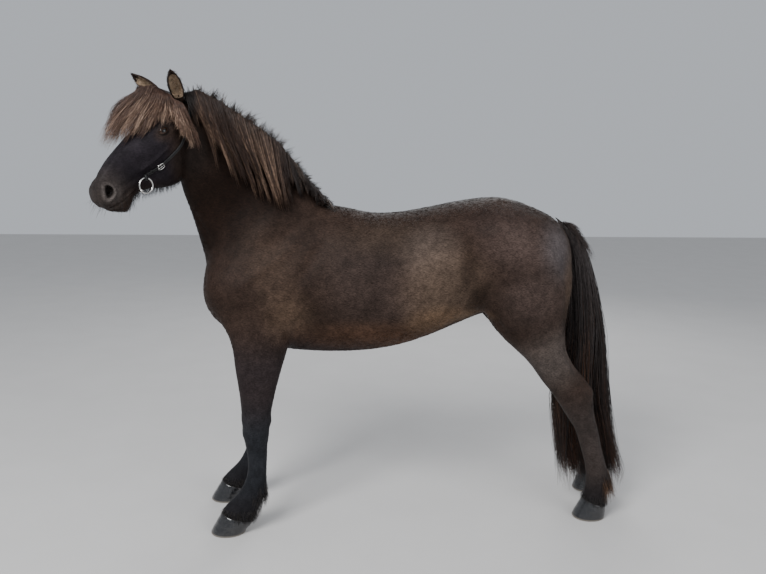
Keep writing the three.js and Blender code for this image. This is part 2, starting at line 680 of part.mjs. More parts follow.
// Forelock: locks from between the ears over the face and behind the near eye
const FORELOCK = [
  [165, 184, 88],
  [215, 172, 86],
  [256, 157, 72],
  [282, 138, 50],
  [290, 118, 32],
  [272, 98, 20],
  [246, 80, 15],
  [205, 64, 14],
  [140, 42, 15],
  [112, 15, 22],
  [118, -8, 30],
  [108, -30, 36],
]; // where each lock ends: [distance from the poll, degrees round the head from its left side, lift off the head]
const FORELOCK_ROOT = 84; // degrees round the head
const ROOT_SPREAD = 18; // to either side of it
const ENDS_FROM = -30; // degrees round the head of the last end, and how far the ends spread from it
const ENDS_SPREAD = 214;
const WIDE_LOCK = 76; // on the far side and over the face
const NARROW_LOCK = 54;
const SHORT_LOCK = 56;
const FORELOCK_BULGE = 13;
const FORELOCK_FLARE = 0.3; // added for each degree towards the far side
function forelockLock([reach, degrees, lift], startA, startTurn, width, grow) {
  const path = [];
  const outward = [];
  const steps = 5;
  for (let k = 0; k <= steps; k++) {
    const share = k / steps;
    const a = mix(startA, reach, share ** 0.9);
    const turn = THREE.MathUtils.degToRad(mix(startTurn, degrees, Math.min(1, share * 1.15) ** 0.8));
    const middle = v3(a, 0, -90).applyMatrix4(headFrame);
    const out = v3(0, Math.cos(turn), Math.sin(turn)).transformDirection(headFrame);
    const bulge = FORELOCK_BULGE + Math.max(0, degrees - 100) * FORELOCK_FLARE;
    const up = k === 0 ? -12 : mix(24, lift, share ** 0.8) + bulge * Math.sin(share * Math.PI);
    path.push(onFlesh(middle, out, up));
    outward.push(out);
  }
  return lock(path, outward, width + 2 * grow, LOCK_THICK + 2 * grow);
}
const SHORT_FORELOCK = [2, 4, 10]; // the ends over which a shorter lock lies
function forelockLocks(grow) {
  const random = seeded(5);
  const long = FORELOCK.map(([reach, degrees, lift], i) => {
    const turn = mix(FORELOCK_ROOT - ROOT_SPREAD, FORELOCK_ROOT + ROOT_SPREAD, (degrees - ENDS_FROM) / ENDS_SPREAD);
    const width = degrees > 100 ? WIDE_LOCK : NARROW_LOCK;
    return forelockLock([reach * (0.9 + 0.16 * random()), degrees, lift + 6 * (i % 2)], -4, turn, width, grow);
  });
  const short = SHORT_FORELOCK.map((i) => {
    const [reach, degrees, lift] = FORELOCK[i];
    return forelockLock([reach * 0.66, degrees - 8, lift + 14], -10, FORELOCK_ROOT, SHORT_LOCK, grow);
  });
  return [...long, ...short];
}

// Bridle. Straps follow the head at a small height off it: [distance from the poll, degrees round the head]
const RING_AT = [356, 66, -138];
const RING_RADIUS = 28;
const RING_WIRE = 3.4;
const STRAP = [
  [-16, 90],
  [-15, 76],
  [-11, 62],
  [-3, 47],
  [12, 32],
  [44, 14],
  [80, 2],
  [118, -6],
  [160, -12],
  [210, -15],
  [262, -21],
  [300, -20],
  [331, -18],
];
const STRAP_WIDTH = 13;
const STRAP_THICK = 3;
const STRAP_LIFT = 4;
const BUCKLE_AT = [262, -21];
const BUCKLE_RISE = 3.9;
const LOOP = [16, 11, 12]; // the fold of each strap round its ring
const ringOf = (radius, wire, sides, section) => new THREE.TorusGeometry(radius, wire, section, sides);
function strapPoint(a, degrees, lift, side) {
  const turn = THREE.MathUtils.degToRad(degrees);
  const middle = v3(a, 0, -100);
  const out = v3(0, side * Math.cos(turn), Math.sin(turn));
  const { point, normal } = touch(middle.applyMatrix4(headFrame), out.transformDirection(headFrame));
  return { p: point.addScaledVector(normal, lift), out: normal };
}
function strapForm(grow) {
  const rows = [...STRAP.slice(1).reverse().map((r) => [...r, -1]), ...STRAP.map((r) => [...r, 1])];
  const points = rows.map(([a, degrees, side]) => strapPoint(a, degrees, STRAP_LIFT, side));
  const last = points.length - 1;
  const rings = points.map(({ p, out }, i) => {
    const along = points[Math.min(i + 1, last)].p.clone().sub(points[Math.max(i - 1, 0)].p).normalize();
    const flat = out.clone().addScaledVector(along, -out.dot(along)).normalize();
    const across = along.clone().cross(flat);
    return [
      [1, 1],
      [-1, 1],
      [-1, -1],
      [1, -1],
    ].map(([w, t]) =>
      p.clone().addScaledVector(across, w * (STRAP_WIDTH / 2 + grow)).addScaledVector(flat, t * (STRAP_THICK / 2 + grow)),
    );
  });
  return solid(skinOf(rings));
}
const LOWEST = v3(Math.sin(THREE.MathUtils.degToRad(HEAD_PITCH)), 0, -Math.cos(THREE.MathUtils.degToRad(HEAD_PITCH)));
function ringForm(side, grow) {
  const ring = ringOf(RING_RADIUS, RING_WIRE + grow, 18, 5).rotateX(Math.PI / 2);
  return inHead(solid(ring.translate(RING_AT[0], side * RING_AT[1], RING_AT[2])));
}
function loopForm(side) {
  const at = v3(RING_AT[0], side * RING_AT[1], RING_AT[2]).addScaledVector(LOWEST, -RING_RADIUS);
  const fold = new THREE.BoxGeometry(...LOOP).rotateY(THREE.MathUtils.degToRad(HEAD_PITCH));
  return inHead(solid(fold.translate(at.x, at.y - side * 2, at.z)));
}
const headstall = joined([strapForm(0), loopForm(1), loopForm(-1)])
  .subtract(joined([ringForm(1, GAP), ringForm(-1, GAP), fleshClear, earsClear]));
const strapRoom = strapForm(GAP);
addNode("headstall", headstall, STRAP_BLACK);

// Bit rings with the end of the mouthpiece, and the buckles of the cheek straps
const STUB_RADIUS = 5;
const STUB_LENGTH = 18;
const BUCKLE = { outer: [26, 22, 3.4], hole: [19, 15, 10], bar: [3, 18, 3.4] };
for (const [name, side] of [
  ["left", 1],
  ["right", -1],
]) {
  const stub = new THREE.CylinderGeometry(STUB_RADIUS, STUB_RADIUS, STUB_LENGTH, 8);
  stub.translate(RING_AT[0] + RING_RADIUS, side * (RING_AT[1] - 4), RING_AT[2]);
  addNode("bit_ring_" + name, ringForm(side, 0).add(inHead(solid(stub))).subtract(fleshClear), STEEL);
  // A small wire buckle stands on the cheek strap.
  const { p, out } = strapPoint(BUCKLE_AT[0], BUCKLE_AT[1], STRAP_LIFT + BUCKLE_RISE, side);
  const next = strapPoint(BUCKLE_AT[0] + 20, BUCKLE_AT[1] - 5, STRAP_LIFT + BUCKLE_RISE, side).p.sub(p);
  next.addScaledVector(out, -next.dot(out)).normalize();
  const turn = new THREE.Matrix4().makeBasis(next, out.clone().cross(next), out).setPosition(p);
  const frame = new THREE.BoxGeometry(...BUCKLE.outer);
  const hole = new THREE.BoxGeometry(...BUCKLE.hole);
  const bar = new THREE.BoxGeometry(...BUCKLE.bar);
  addNode("buckle_" + name, solid(frame).subtract(solid(hole)).add(solid(bar)).transform(turn.elements), STEEL);
}

// Hair of the head and neck, clear of all that it lies on
const settled = (locks) => joined(locks).subtract(fleshClear).subtract(earsClear).subtract(strapRoom);
addNode("forelock", settled(forelockLocks(0)), HAIR);
addNode("mane", settled([maneRidge, ...maneLocks]).subtract(joined(forelockLocks(GAP))), HAIR);

// Tail: [front x, rear x, z, half width] of the whole bundle, from the dock down
const TAIL = [
  [738, 800, 1316, 34],
  [785, 872, 1250, 44],
  [812, 922, 1130, 58],
  [824, 972, 930, 70],
  [826, 997, 776, 76],
  [790, 1029, 545, 78],
  [802, 1069, 380, 80],
  [828, 1114, 220, 80],
  [868, 1134, 140, 70],
  [905, 1130, 52, 52],
];
const TAIL_TILT = 26; // how much lower the rear edge of a slice lies at the dock
const TAIL_OUTER = 10;
const TAIL_INNER = 2;
const TAIL_STEPS = 5;
const TAIL_LOCK_THICK = 15;
const tailRandom = seeded(23);
function tailPoint(share, u, v) {
  const [front, rear, z, half] = between(TAIL, share * (TAIL.length - 1));
  return v3(mix(front, rear, (u + 1) / 2), v * half, z - u * TAIL_TILT * (1 - share));
}
function tailLock(angle, radius, from, to, width) {
  const path = [];
  const outward = [];
  const wave = 0.06 * (tailRandom() - 0.5);
  for (let k = 0; k <= TAIL_STEPS; k++) {
    const share = mix(from, to, k / TAIL_STEPS);
    const r = radius * (k === 0 ? 0.7 : 1) * (1 - 0.12 * Math.max(0, k / TAIL_STEPS - 0.7));
    const turn = angle + wave * k;
    path.push(tailPoint(share, r * Math.cos(turn), r * Math.sin(turn)));
    outward.push(v3(Math.cos(turn), Math.sin(turn), 0.05).normalize());
  }
  return lock(path, outward, width, TAIL_LOCK_THICK);
}
const TAIL_CORE = 0.62; // size of the core against the whole bundle
const tailCore = form(
  [0, 0.11, 0.22, 0.33, 0.44, 0.52].map((share, i) => {
    const size = TAIL_CORE * (i === 5 ? 0.5 : 1) + (i === 0 ? 0.25 : 0);
    const side = tailPoint(share, 0, size);
    return {
      top: tailPoint(share, size, 0),
      bottom: tailPoint(share, -size, 0),
      half: side.y,
      side: v3(0, 1, 0),
      widest: 0.5,
      square: [2, 2],
    };
  }),
  10,
);
const tailLocks = [];
for (let i = 0; i < TAIL_OUTER; i++) {
  const angle = ((i + 0.5) / TAIL_OUTER) * 2 * Math.PI;
  const to = 0.82 + 0.18 * tailRandom();
  tailLocks.push(tailLock(angle, 0.86 + 0.08 * (i % 2), 0.01, to, 92 + 16 * tailRandom()));
}
for (let i = 0; i < TAIL_INNER; i++) {
  const angle = (i / TAIL_INNER) * 2 * Math.PI;
  tailLocks.push(tailLock(angle, 0.5, 0.35, 0.86 + 0.12 * tailRandom(), 90));
}
addNode("tail", joined([tailCore, ...tailLocks]).subtract(fleshClear), TAIL_HAIR);

// Feather behind each fetlock: [height of the root, length, sideways place from -1 to 1]
const FEATHER = [
  [166, 56, -0.6],
  [170, 66, 0],
  [166, 56, 0.6],
];
const FEATHER_PAD = [13, 36, 28]; // half sizes of the pad that the locks grow from
const FEATHER_PAD_HEIGHT = 152;
const FEATHER_LOCK = [34, 10]; // width and thickness
const FORE_FETLOCK = -575; // x inside the fetlock
const HIND_FETLOCK = 960;
for (const leg of LEGS) {
  const middle = leg.rows === FORELEG ? FORE_FETLOCK : HIND_FETLOCK;
  const back = (place, height, lift) => {
    const inside = v3(middle + leg.shift, leg.side * leg.hoof[0][5], height);
    return onFlesh(inside, v3(1, place * 0.8, 0).normalize(), lift);
  };
  const pad = back(0, FEATHER_PAD_HEIGHT, -6);
  const locks = FEATHER.map(([height, length, place]) => {
    const root = back(place, height, -2);
    const down = v3(0.34, place * 0.3, -1).normalize();
    const path = [0, 1, 2].map((k) => root.clone().addScaledVector(down, (length * k) / 2));
    return lock(path, path.map(() => v3(1, place * 0.8, 0.4).normalize()), ...FEATHER_LOCK);
  });
  const tuft = joined([pebble(pad.toArray(), FEATHER_PAD), ...locks]);
  addNode("feather_" + leg.name, tuft.subtract(fleshClear), COAT);
}

// Long hair under the jaw: [distance from the poll, length, sideways place]
const BEARD = [
  [296, 34, -9],
  [318, 42, 8],
  [340, 48, -8],
  [362, 46, 8],
  [384, 38, -7],
  [404, 28, 5],
];
const BEARD_PAD = [280, 310, 345, 385, 415]; // places along the jaw of the pad that they grow from
const BEARD_LOCK = [30, 9];
const jawAt = (a) => onFlesh(v3(a, 0, -100).applyMatrix4(headFrame), v3(0, 0, -1).transformDirection(headFrame), 0);
const beardPad = form(
  BEARD_PAD.map((a, i) => ({
    top: jawAt(a).add(v3(0, 0, 12)),
    bottom: jawAt(a).add(v3(0, 0, i % 4 === 0 ? -1 : -6)),
    half: i % 4 === 0 ? 6 : 14,
    side: v3(0, 1, 0).transformDirection(headFrame),
    widest: 0.5,
    square: [2, 2],
  })),
  6,
);
const beardLocks = BEARD.map(([a, length, across]) => {
  const leftward = v3(0, 1, 0).transformDirection(headFrame);
  const root = jawAt(a).addScaledVector(leftward, across);
  const down = v3(-0.25, 0, -1).transformDirection(headFrame).lerp(v3(0, 0, -1), 0.35).normalize();
  const path = [0, 1, 2].map((k) => root.clone().addScaledVector(down, -3 + (length * k) / 2));
  return lock(path, path.map(() => leftward), ...BEARD_LOCK);
});
addNode("beard", joined([beardPad, ...beardLocks]).subtract(fleshClear), COAT);

// The origin is under the middle of the whole
const whole = new THREE.Box3().setFromObject(group);
const centre = whole.getCenter(v3(0, 0, 0));
group.position.set(-centre.x, -centre.y, -whole.min.z);

export default group;
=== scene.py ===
import math

import bmesh
import bpy
import numpy as np
from mathutils import Matrix, Vector
from mathutils.bvhtree import BVHTree


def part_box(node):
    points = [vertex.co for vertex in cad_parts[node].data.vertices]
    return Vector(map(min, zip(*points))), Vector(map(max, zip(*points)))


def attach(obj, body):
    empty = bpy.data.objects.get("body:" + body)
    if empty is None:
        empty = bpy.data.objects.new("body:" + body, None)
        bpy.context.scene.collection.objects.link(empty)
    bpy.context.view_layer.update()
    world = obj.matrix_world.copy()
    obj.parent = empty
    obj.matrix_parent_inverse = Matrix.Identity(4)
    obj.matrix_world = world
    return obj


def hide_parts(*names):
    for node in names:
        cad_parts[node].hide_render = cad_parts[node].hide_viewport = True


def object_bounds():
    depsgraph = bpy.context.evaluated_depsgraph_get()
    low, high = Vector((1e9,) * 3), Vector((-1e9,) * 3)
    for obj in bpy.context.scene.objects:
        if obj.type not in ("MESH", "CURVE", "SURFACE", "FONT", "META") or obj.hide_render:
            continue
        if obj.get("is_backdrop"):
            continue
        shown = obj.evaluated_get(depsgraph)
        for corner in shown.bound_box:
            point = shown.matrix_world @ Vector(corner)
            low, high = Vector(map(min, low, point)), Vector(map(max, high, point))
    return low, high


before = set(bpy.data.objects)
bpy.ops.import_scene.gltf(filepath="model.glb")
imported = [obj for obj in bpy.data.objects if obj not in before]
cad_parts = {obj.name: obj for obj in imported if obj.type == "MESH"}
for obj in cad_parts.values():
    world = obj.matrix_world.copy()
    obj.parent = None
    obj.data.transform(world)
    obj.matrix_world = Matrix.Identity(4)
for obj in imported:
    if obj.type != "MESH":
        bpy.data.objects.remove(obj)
CAD_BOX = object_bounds()

# Where the horse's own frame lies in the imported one, from the left fore hoof
HOOF_TOE_X = -735
HOOF_MIDDLE_Y = -158
MM = 1000
hoof_low, hoof_high = (np.array(corner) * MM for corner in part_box("hoof_fore_left"))
SHIFT = np.array([hoof_low[0] - HOOF_TOE_X, (hoof_low[1] + hoof_high[1]) / 2 - HOOF_MIDDLE_Y, 0.0])
COAT_DEPTH = 2.5  # how far the skin lies inside the solids
LEFT = -1
RIGHT = 1

# Torso slices, tail-wards: [x, top z, bottom z, half width, height share of the widest point, two squarenesses]
TORSO = [
    [-752, 1090, 1030, 45, 0.5, 2, 2],
    [-738, 1165, 955, 118, 0.5, 2, 2],
    [-705, 1225, 893, 163, 0.45, 2, 2.1],
    [-645, 1278, 845, 190, 0.44, 2, 2.2],
    [-540, 1335, 795, 205, 0.45, 1.9, 2.2],
    [-420, 1372, 764, 215, 0.45, 1.8, 2.1],
    [-300, 1385, 752, 228, 0.46, 1.75, 2.1],
    [-180, 1373, 750, 246, 0.46, 1.9, 2.1],
    [-60, 1350, 757, 258, 0.46, 2.1, 2.1],
    [60, 1353, 778, 264, 0.46, 2.15, 2.1],
    [180, 1374, 815, 262, 0.47, 2.1, 2.1],
    [300, 1399, 862, 254, 0.5, 2.1, 2],
    [400, 1414, 902, 246, 0.56, 2.1, 2],
    [490, 1419, 925, 243, 0.56, 2.1, 2],
    [580, 1407, 930, 238, 0.54, 2, 2],
    [660, 1380, 940, 226, 0.5, 2, 2],
    [725, 1342, 960, 200, 0.5, 2, 2],
    [775, 1290, 1000, 155, 0.5, 2, 2],
    [800, 1225, 1065, 90, 0.5, 2, 2],
]
# Neck slices from the shoulder to the poll: [crest x, z, throat x, z, half width, sideways shift]
NECK = [
    [-165, 1335, -640, 870, 140, 0],
    [-235, 1382, -690, 930, 176, 0],
    [-290, 1430, -738, 1040, 165, 0],
    [-360, 1495, -752, 1140, 138, -4],
    [-435, 1565, -768, 1215, 112, -14],
    [-510, 1624, -786, 1290, 95, -32],
    [-585, 1676, -802, 1360, 84, -58],
    [-660, 1722, -818, 1420, 78, -88],
    [-735, 1762, -826, 1475, 72, -116],
    [-800, 1788, -845, 1530, 60, -132],
]
# Head slices, poll to lips: [distance, face line, jaw line, half width, widest share, two squarenesses]
HEAD = [
    [-30, -38, -95, 42, 0.55, 2, 2],
    [0, -8, -135, 60, 0.6, 2, 2],
    [40, 8, -190, 76, 0.64, 2.1, 2],
    [85, 13, -232, 88, 0.68, 2.2, 2],
    [130, 14, -252, 96, 0.7, 2.3, 2],
    [175, 12, -258, 97, 0.7, 2.3, 2.1],
    [220, 8, -256, 90, 0.68, 2.2, 2.2],
    [265, 8, -236, 79, 0.66, 2.1, 2.2],
    [310, 8, -202, 66, 0.64, 2.1, 2.2],
    [350, 6, -174, 57, 0.62, 2.2, 2.2],
    [390, 3, -163, 51, 0.6, 2.2, 2.2],
    [425, -3, -172, 51, 0.58, 2.2, 2.2],
    [455, -12, -180, 53, 0.56, 2.2, 2.2],
    [482, -26, -158, 50, 0.55, 2.2, 2.2],
    [502, -46, -132, 42, 0.52, 2, 2],
    [514, -70, -108, 24, 0.5, 2, 2],
]
NECK_WIDEST = 0.42  # height share of the neck's widest point
NECK_CREST = 1.7  # squareness of the neck's top half
LEG_SQUARE = 2.1
HEAD_POLL = np.array([-845.0, -135.0, 1802.0])
HEAD_PITCH = math.radians(42)
HEAD_YAW = math.radians(46)
# Only points above and ahead of these are read as of the head, with and without the join to the neck
NECK_ABOVE, NECK_AHEAD = 1350, -760
FACE_ABOVE, FACE_AHEAD = 1380, -800

# Leg and hoof slices, top down: [front x, z, rear x, z, half width, distance from the body's middle]
FORELEG = [
    [-700, 1010, -430, 1010, 60, 108],
    [-690, 930, -405, 930, 72, 122],
    [-652, 862, -398, 862, 76, 136],
    [-634, 800, -410, 790, 68, 146],
    [-624, 710, -437, 702, 58, 152],
    [-610, 600, -463, 597, 50, 156],
    [-603, 520, -479, 518, 46, 158],
    [-601, 468, -486, 468, 49, 158],
    [-598, 425, -488, 425, 49, 158],
    [-590, 385, -494, 385, 42, 158],
    [-582, 325, -497, 325, 34, 158],
    [-584, 260, -500, 260, 34, 158],
    [-600, 210, -500, 208, 39, 158],
    [-622, 172, -508, 165, 43, 158],
    [-652, 140, -528, 112, 41, 158],
    [-678, 112, -547, 76, 45, 158],
    [-690, 88, -560, 48, 50, 158],
]
FORE_HOOF = [
    [-690, 88, -560, 48, 50, 158],
    [-698, 75, -566, 36, 55, 158],
    [-735, 8, -592, 8, 65, 158],
    [-733, 0, -593, 0, 62, 158],
]
HINDLEG = [
    [400, 1250, 740, 1250, 60, 100],
    [395, 1150, 786, 1150, 90, 118],
    [396, 1050, 794, 1050, 106, 126],
    [410, 960, 782, 975, 108, 130],
    [440, 896, 775, 905, 101, 132],
    [490, 835, 774, 840, 90, 134],
    [545, 785, 778, 788, 80, 136],
    [598, 738, 796, 742, 71, 138],
    [640, 690, 828, 694, 63, 139],
    [676, 640, 872, 646, 56, 140],
    [716, 592, 905, 597, 52, 140],
    [751, 545, 917, 548, 51, 140],
    [782, 500, 923, 500, 50, 140],
    [812, 455, 934, 452, 44, 140],
    [842, 410, 950, 405, 39, 140],
    [868, 340, 968, 335, 36, 140],
    [894, 260, 993, 255, 37, 140],
    [905, 210, 1012, 205, 43, 140],
    [907, 172, 1017, 165, 45, 140],
    [905, 138, 1010, 122, 42, 140],
    [902, 112, 1004, 86, 45, 140],
    [900, 88, 1003, 54, 50, 140],
]
HIND_HOOF = [
    [900, 88, 1003, 54, 50, 140],
    [893, 74, 1003, 42, 54, 140],
    [860, 8, 1001, 8, 62, 140],
    [862, 0, 999, 0, 59, 140],
]
RIGHT_FORE_SHIFT = -38
RIGHT_HIND_SHIFT = 105
FORE_REACH = 862
HIND_REACH = 1050
LEGS = {
    "fore_left": (FORELEG, FORE_HOOF, LEFT, 0, FORE_REACH),
    "fore_right": (FORELEG, FORE_HOOF, RIGHT, RIGHT_FORE_SHIFT, FORE_REACH),
    "hind_left": (HINDLEG, HIND_HOOF, LEFT, 0, HIND_REACH),
    "hind_right": (HINDLEG, HIND_HOOF, RIGHT, RIGHT_HIND_SHIFT, HIND_REACH),
}

# The head's frame: x from poll to lips, y to the horse's left, z out of the face
ALONG = -np.array([
    math.cos(HEAD_PITCH) * math.cos(HEAD_YAW),
    math.cos(HEAD_PITCH) * math.sin(HEAD_YAW),
    math.sin(HEAD_PITCH),
])
LEFTWARD = np.array([math.sin(HEAD_YAW), -math.cos(HEAD_YAW), 0.0])
HEAD_TURN = np.stack([ALONG, LEFTWARD, np.cross(ALONG, LEFTWARD)])


def from_head(points):
    return np.asarray(points, float) @ HEAD_TURN + HEAD_POLL


def to_head(points):
    return (points - HEAD_POLL) @ HEAD_TURN.T


def unit(vectors):
    vectors = np.asarray(vectors, float)
    return vectors / np.maximum(np.linalg.norm(vectors, axis=-1, keepdims=True), 1e-9)


def mix(a, b, share):
    return a + (b - a) * share


def soft_step(value, low, high):
    share = np.clip((value - low) / (high - low), 0, 1)
    return share * share * (3 - 2 * share)


# The values of a table of rows at places between its rows, on a smooth curve through them
def between(rows, places):
    rows = np.asarray(rows, float)
    places = np.atleast_1d(np.asarray(places, float))
    i = np.clip(places.astype(int), 0, len(rows) - 2)
    t = (places - i).reshape((-1,) + (1,) * (rows.ndim - 1))
    a, b = rows[i], rows[i + 1]
    m0 = (b - rows[np.maximum(i - 1, 0)]) / 2
    m1 = (rows[np.minimum(i + 2, len(rows) - 1)] - a) / 2
    t2, t3 = t * t, t * t * t
    return (2 * t3 - 3 * t2 + 1) * a + (t3 - 2 * t2 + t) * m0 + (3 * t2 - 2 * t3) * b + (t3 - t2) * m1


# Rings of points round slices given by top and bottom points, half width, sideways direction and shape
def rings_of(top, bottom, half, side, widest, squares, sides):
    angle = (np.arange(sides) + 0.5) / sides * 2 * math.pi
    s, c = np.sin(angle), np.cos(angle)
    middle = mix(bottom, top, widest[:, None])
    power = np.where(s[None] >= 0, squares[0][:, None], squares[1][:, None])
    up = np.where(s[None, :, None] >= 0, (top - middle)[:, None], (middle - bottom)[:, None])
    wide = half[:, None] * np.sign(c) * np.abs(c) ** (2 / power)
    high = np.sign(s) * np.abs(s) ** (2 / power)
    return middle[:, None] + wide[..., None] * side[:, None] + high[..., None] * up


def place_rows(rows, steps):
    return between(rows, np.arange((len(rows) - 1) * steps + 1) / steps)


# Rings of a form whose middle line has no sideways bend
def level_rings(x, top, bottom, half, widest, squares, sides):
    zero = np.zeros_like(x)
    side = np.tile([0.0, 1, 0], (len(x), 1))
    top, bottom = (np.stack([x, zero, z], 1) for z in (top, bottom))
    return rings_of(top, bottom, half, side, widest, squares, sides)


def torso_rings(steps, sides):
    x, top, bottom, half, widest, n_top, n_bottom = place_rows(TORSO, steps).T
    return level_rings(x, top, bottom, half, widest, (n_top, n_bottom), sides)


def neck_rings(steps, sides):
    crest_x, crest_z, throat_x, throat_z, half, shift = place_rows(NECK, steps).T
    top = np.stack([crest_x, shift, crest_z], 1)
    bottom = np.stack([throat_x, shift, throat_z], 1)
    along = np.gradient(top + bottom, axis=0)
    side = unit(np.cross(top - bottom, along))
    side *= np.sign(side[:, 1:2])
    flat = np.ones_like(half)
    return rings_of(top, bottom, half, side, flat * NECK_WIDEST, (flat * NECK_CREST, flat * 2), sides)


def head_rings(steps, sides):
    along, face, jaw, half, widest, n_face, n_jaw = place_rows(HEAD, steps).T
    return from_head(level_rings(along, face, jaw, half, widest, (n_face, n_jaw), sides))


def leg_rings(rows, side, shift, reach, steps, sides):
    front_x, front_z, rear_x, rear_z, half, out = place_rows(rows, steps).T
    y = side * out
    top = np.stack([front_x + shift * np.maximum(0, 1 - front_z / reach), y, front_z], 1)
    bottom = np.stack([rear_x + shift * np.maximum(0, 1 - rear_z / reach), y, rear_z], 1)
    across = np.tile([0.0, 1, 0], (len(y), 1))
    flat = np.ones_like(half)
    return rings_of(top, bottom, half, across, flat * 0.5, (flat * LEG_SQUARE, flat * LEG_SQUARE), sides)


# Vertices and faces of a closed body through rings, its ends closed by fans
def skin_of(rings):
    count, sides = rings.shape[:2]
    k = np.arange(sides)
    row = np.arange(count - 1)[:, None] * sides
    a = (row + k).ravel()
    b = (row + (k + 1) % sides).ravel()
    quads = np.stack([a, b, b + sides, a + sides], 1)
    verts = np.concatenate([rings.reshape(-1, 3), rings[:1].mean(1), rings[-1:].mean(1)])
    first, last = count * sides, count * sides + 1
    end = (count - 1) * sides
    tris = np.concatenate([
        np.stack([np.full(sides, first), (k + 1) % sides, k], 1),
        np.stack([np.full(sides, last), end + k, end + (k + 1) % sides], 1),
    ])
    middle = verts - verts.mean(0)
    volume = 0
    for faces in (quads, quads[:, [0, 2, 3]], tris):
        a, b, c = (middle[faces[:, k]] for k in range(3))
        volume += (a * np.cross(b, c)).sum()
    if volume < 0:
        quads, tris = quads[:, ::-1], tris[:, ::-1]
    return verts, quads, tris


# Vertices and quads of a tube through sections that comes back to its first one
def closed_tube(sections):
    count, sides = sections.shape[:2]
    k = np.arange(sides)
    row = np.arange(count)[:, None] * sides
    after = ((np.arange(count)[:, None] + 1) % count) * sides
    quads = np.stack([row + k, row + (k + 1) % sides, after + (k + 1) % sides, after + k], -1)
    return sections.reshape(-1, 3), quads.reshape(-1, 4), np.empty((0, 3), int)


# A round section about a middle, across two directions
def round_section(middle, first, second, radius, sides):
    turn = np.linspace(0, 2 * math.pi, sides, endpoint=False)[:, None]
    return middle + radius * (np.cos(turn) * first + np.sin(turn) * second)


def joined(forms):
    verts, quads, tris = [], [], []
    start = 0
    for v, q, t in forms:
        verts.append(v)
        quads.append(np.asarray(q).reshape(-1, 4) + start)
        tris.append(np.asarray(t).reshape(-1, 3) + start)
        start += len(v)
    return np.concatenate(verts), np.concatenate(quads), np.concatenate(tris)


# A mesh from vertices in the horse's own millimetres, four-sided and three-sided faces
def mesh_of(name, verts, quads, tris):
    mesh = bpy.data.meshes.new(name)
    loops = np.concatenate([np.ravel(quads), np.ravel(tris)]).astype(np.int32)
    starts = np.concatenate([np.arange(len(quads)) * 4, len(quads) * 4 + np.arange(len(tris)) * 3])
    mesh.vertices.add(len(verts))
    mesh.vertices.foreach_set("co", ((verts + SHIFT) / MM).astype(np.float32).ravel())
    mesh.loops.add(len(loops))
    mesh.loops.foreach_set("vertex_index", loops)
    mesh.polygons.add(len(starts))
    mesh.polygons.foreach_set("loop_start", starts.astype(np.int32))
    mesh.update(calc_edges=True)
    mesh.shade_smooth()
    return mesh


def loose(name, form):
    made = bpy.data.objects.new(name, mesh_of(name, *form))
    bpy.context.scene.collection.objects.link(made)
    return made


def set_values(mesh, values):
    for label, numbers in values.items():
        mesh.attributes.new(label, "FLOAT", "POINT").data.foreach_set("value", np.asarray(numbers, np.float32))


def piece_of(name, mesh, material, replaces=()):
    piece = bpy.data.objects.new(name, mesh)
    bpy.context.scene.collection.objects.link(piece)
    mesh.materials.clear()
    mesh.materials.append(material)
    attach(piece, "root")
    if replaces:
        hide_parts(*replaces)
    return piece


# Rows of a field of a mesh's vertices, edges or faces
def rows_of(items, field, width, kind=np.float32):
    flat = np.empty(len(items) * width, kind)
    items.foreach_get(field, flat)
    return flat.reshape(-1, width)


def coordinates(mesh):
    return rows_of(mesh.vertices, "co", 3).astype(float) * MM - SHIFT


def set_coordinates(mesh, verts):
    mesh.vertices.foreach_set("co", ((verts + SHIFT) / MM).astype(np.float32).ravel())
    mesh.update()


def normals_of(mesh):
    return rows_of(mesh.vertex_normals, "vector", 3).astype(float)


# Moves each vertex a share of the way to its neighbours' middle, then, to keep the size, a little further back
def smoothed(mesh, verts, share, rounds, steps=(1, -1.03)):
    a, b = rows_of(mesh.edges, "vertices", 2, np.int32).T
    ends = np.concatenate([a, b])
    others = np.concatenate([b, a])
    count = np.maximum(np.bincount(ends, minlength=len(verts)), 1)
    share = np.broadcast_to(share, len(verts))[:, None]
    for step in steps * rounds:
        sums = [np.bincount(ends, weights=verts[others, k], minlength=len(verts)) for k in range(3)]
        middle = np.stack(sums, 1) / count[:, None]
        verts = verts + share * step * (middle - verts)
    return verts


# How near each point is to a line through points, as a bell from 1 on the line to 0 a few widths away
def near_line(points, line, width):
    line = np.asarray(line, float)
    best = np.full(len(points), np.inf)
    for a, b in zip(line[:-1], line[1:]):
        step = b - a
        t = np.clip((points - a) @ step / (step @ step), 0, 1)
        gap = points - (a + t[:, None] * step)
        best = np.minimum(best, (gap * gap).sum(1))
    return np.exp(-best / width**2)


def near_point(points, at, reach):
    return np.exp(-(((points - np.asarray(at, float)) / np.asarray(reach, float)) ** 2).sum(1))


# The skin's rough form: every loft closed and run together into one surface
VOXEL = 6.4
parts = [skin_of(torso_rings(4, 72)), skin_of(neck_rings(5, 64)), skin_of(head_rings(4, 60))]
for rows, _, side, shift, reach in LEGS.values():
    parts.append(skin_of(leg_rings(rows, side, shift, reach, 4, 44)))
rough = loose("rough", joined(parts))
voxels = rough.modifiers.new("voxels", "REMESH")
voxels.mode = "VOXEL"
voxels.voxel_size = VOXEL / MM
skin_mesh = bpy.data.meshes.new_from_object(rough.evaluated_get(bpy.context.evaluated_depsgraph_get()))
bpy.data.objects.remove(rough)


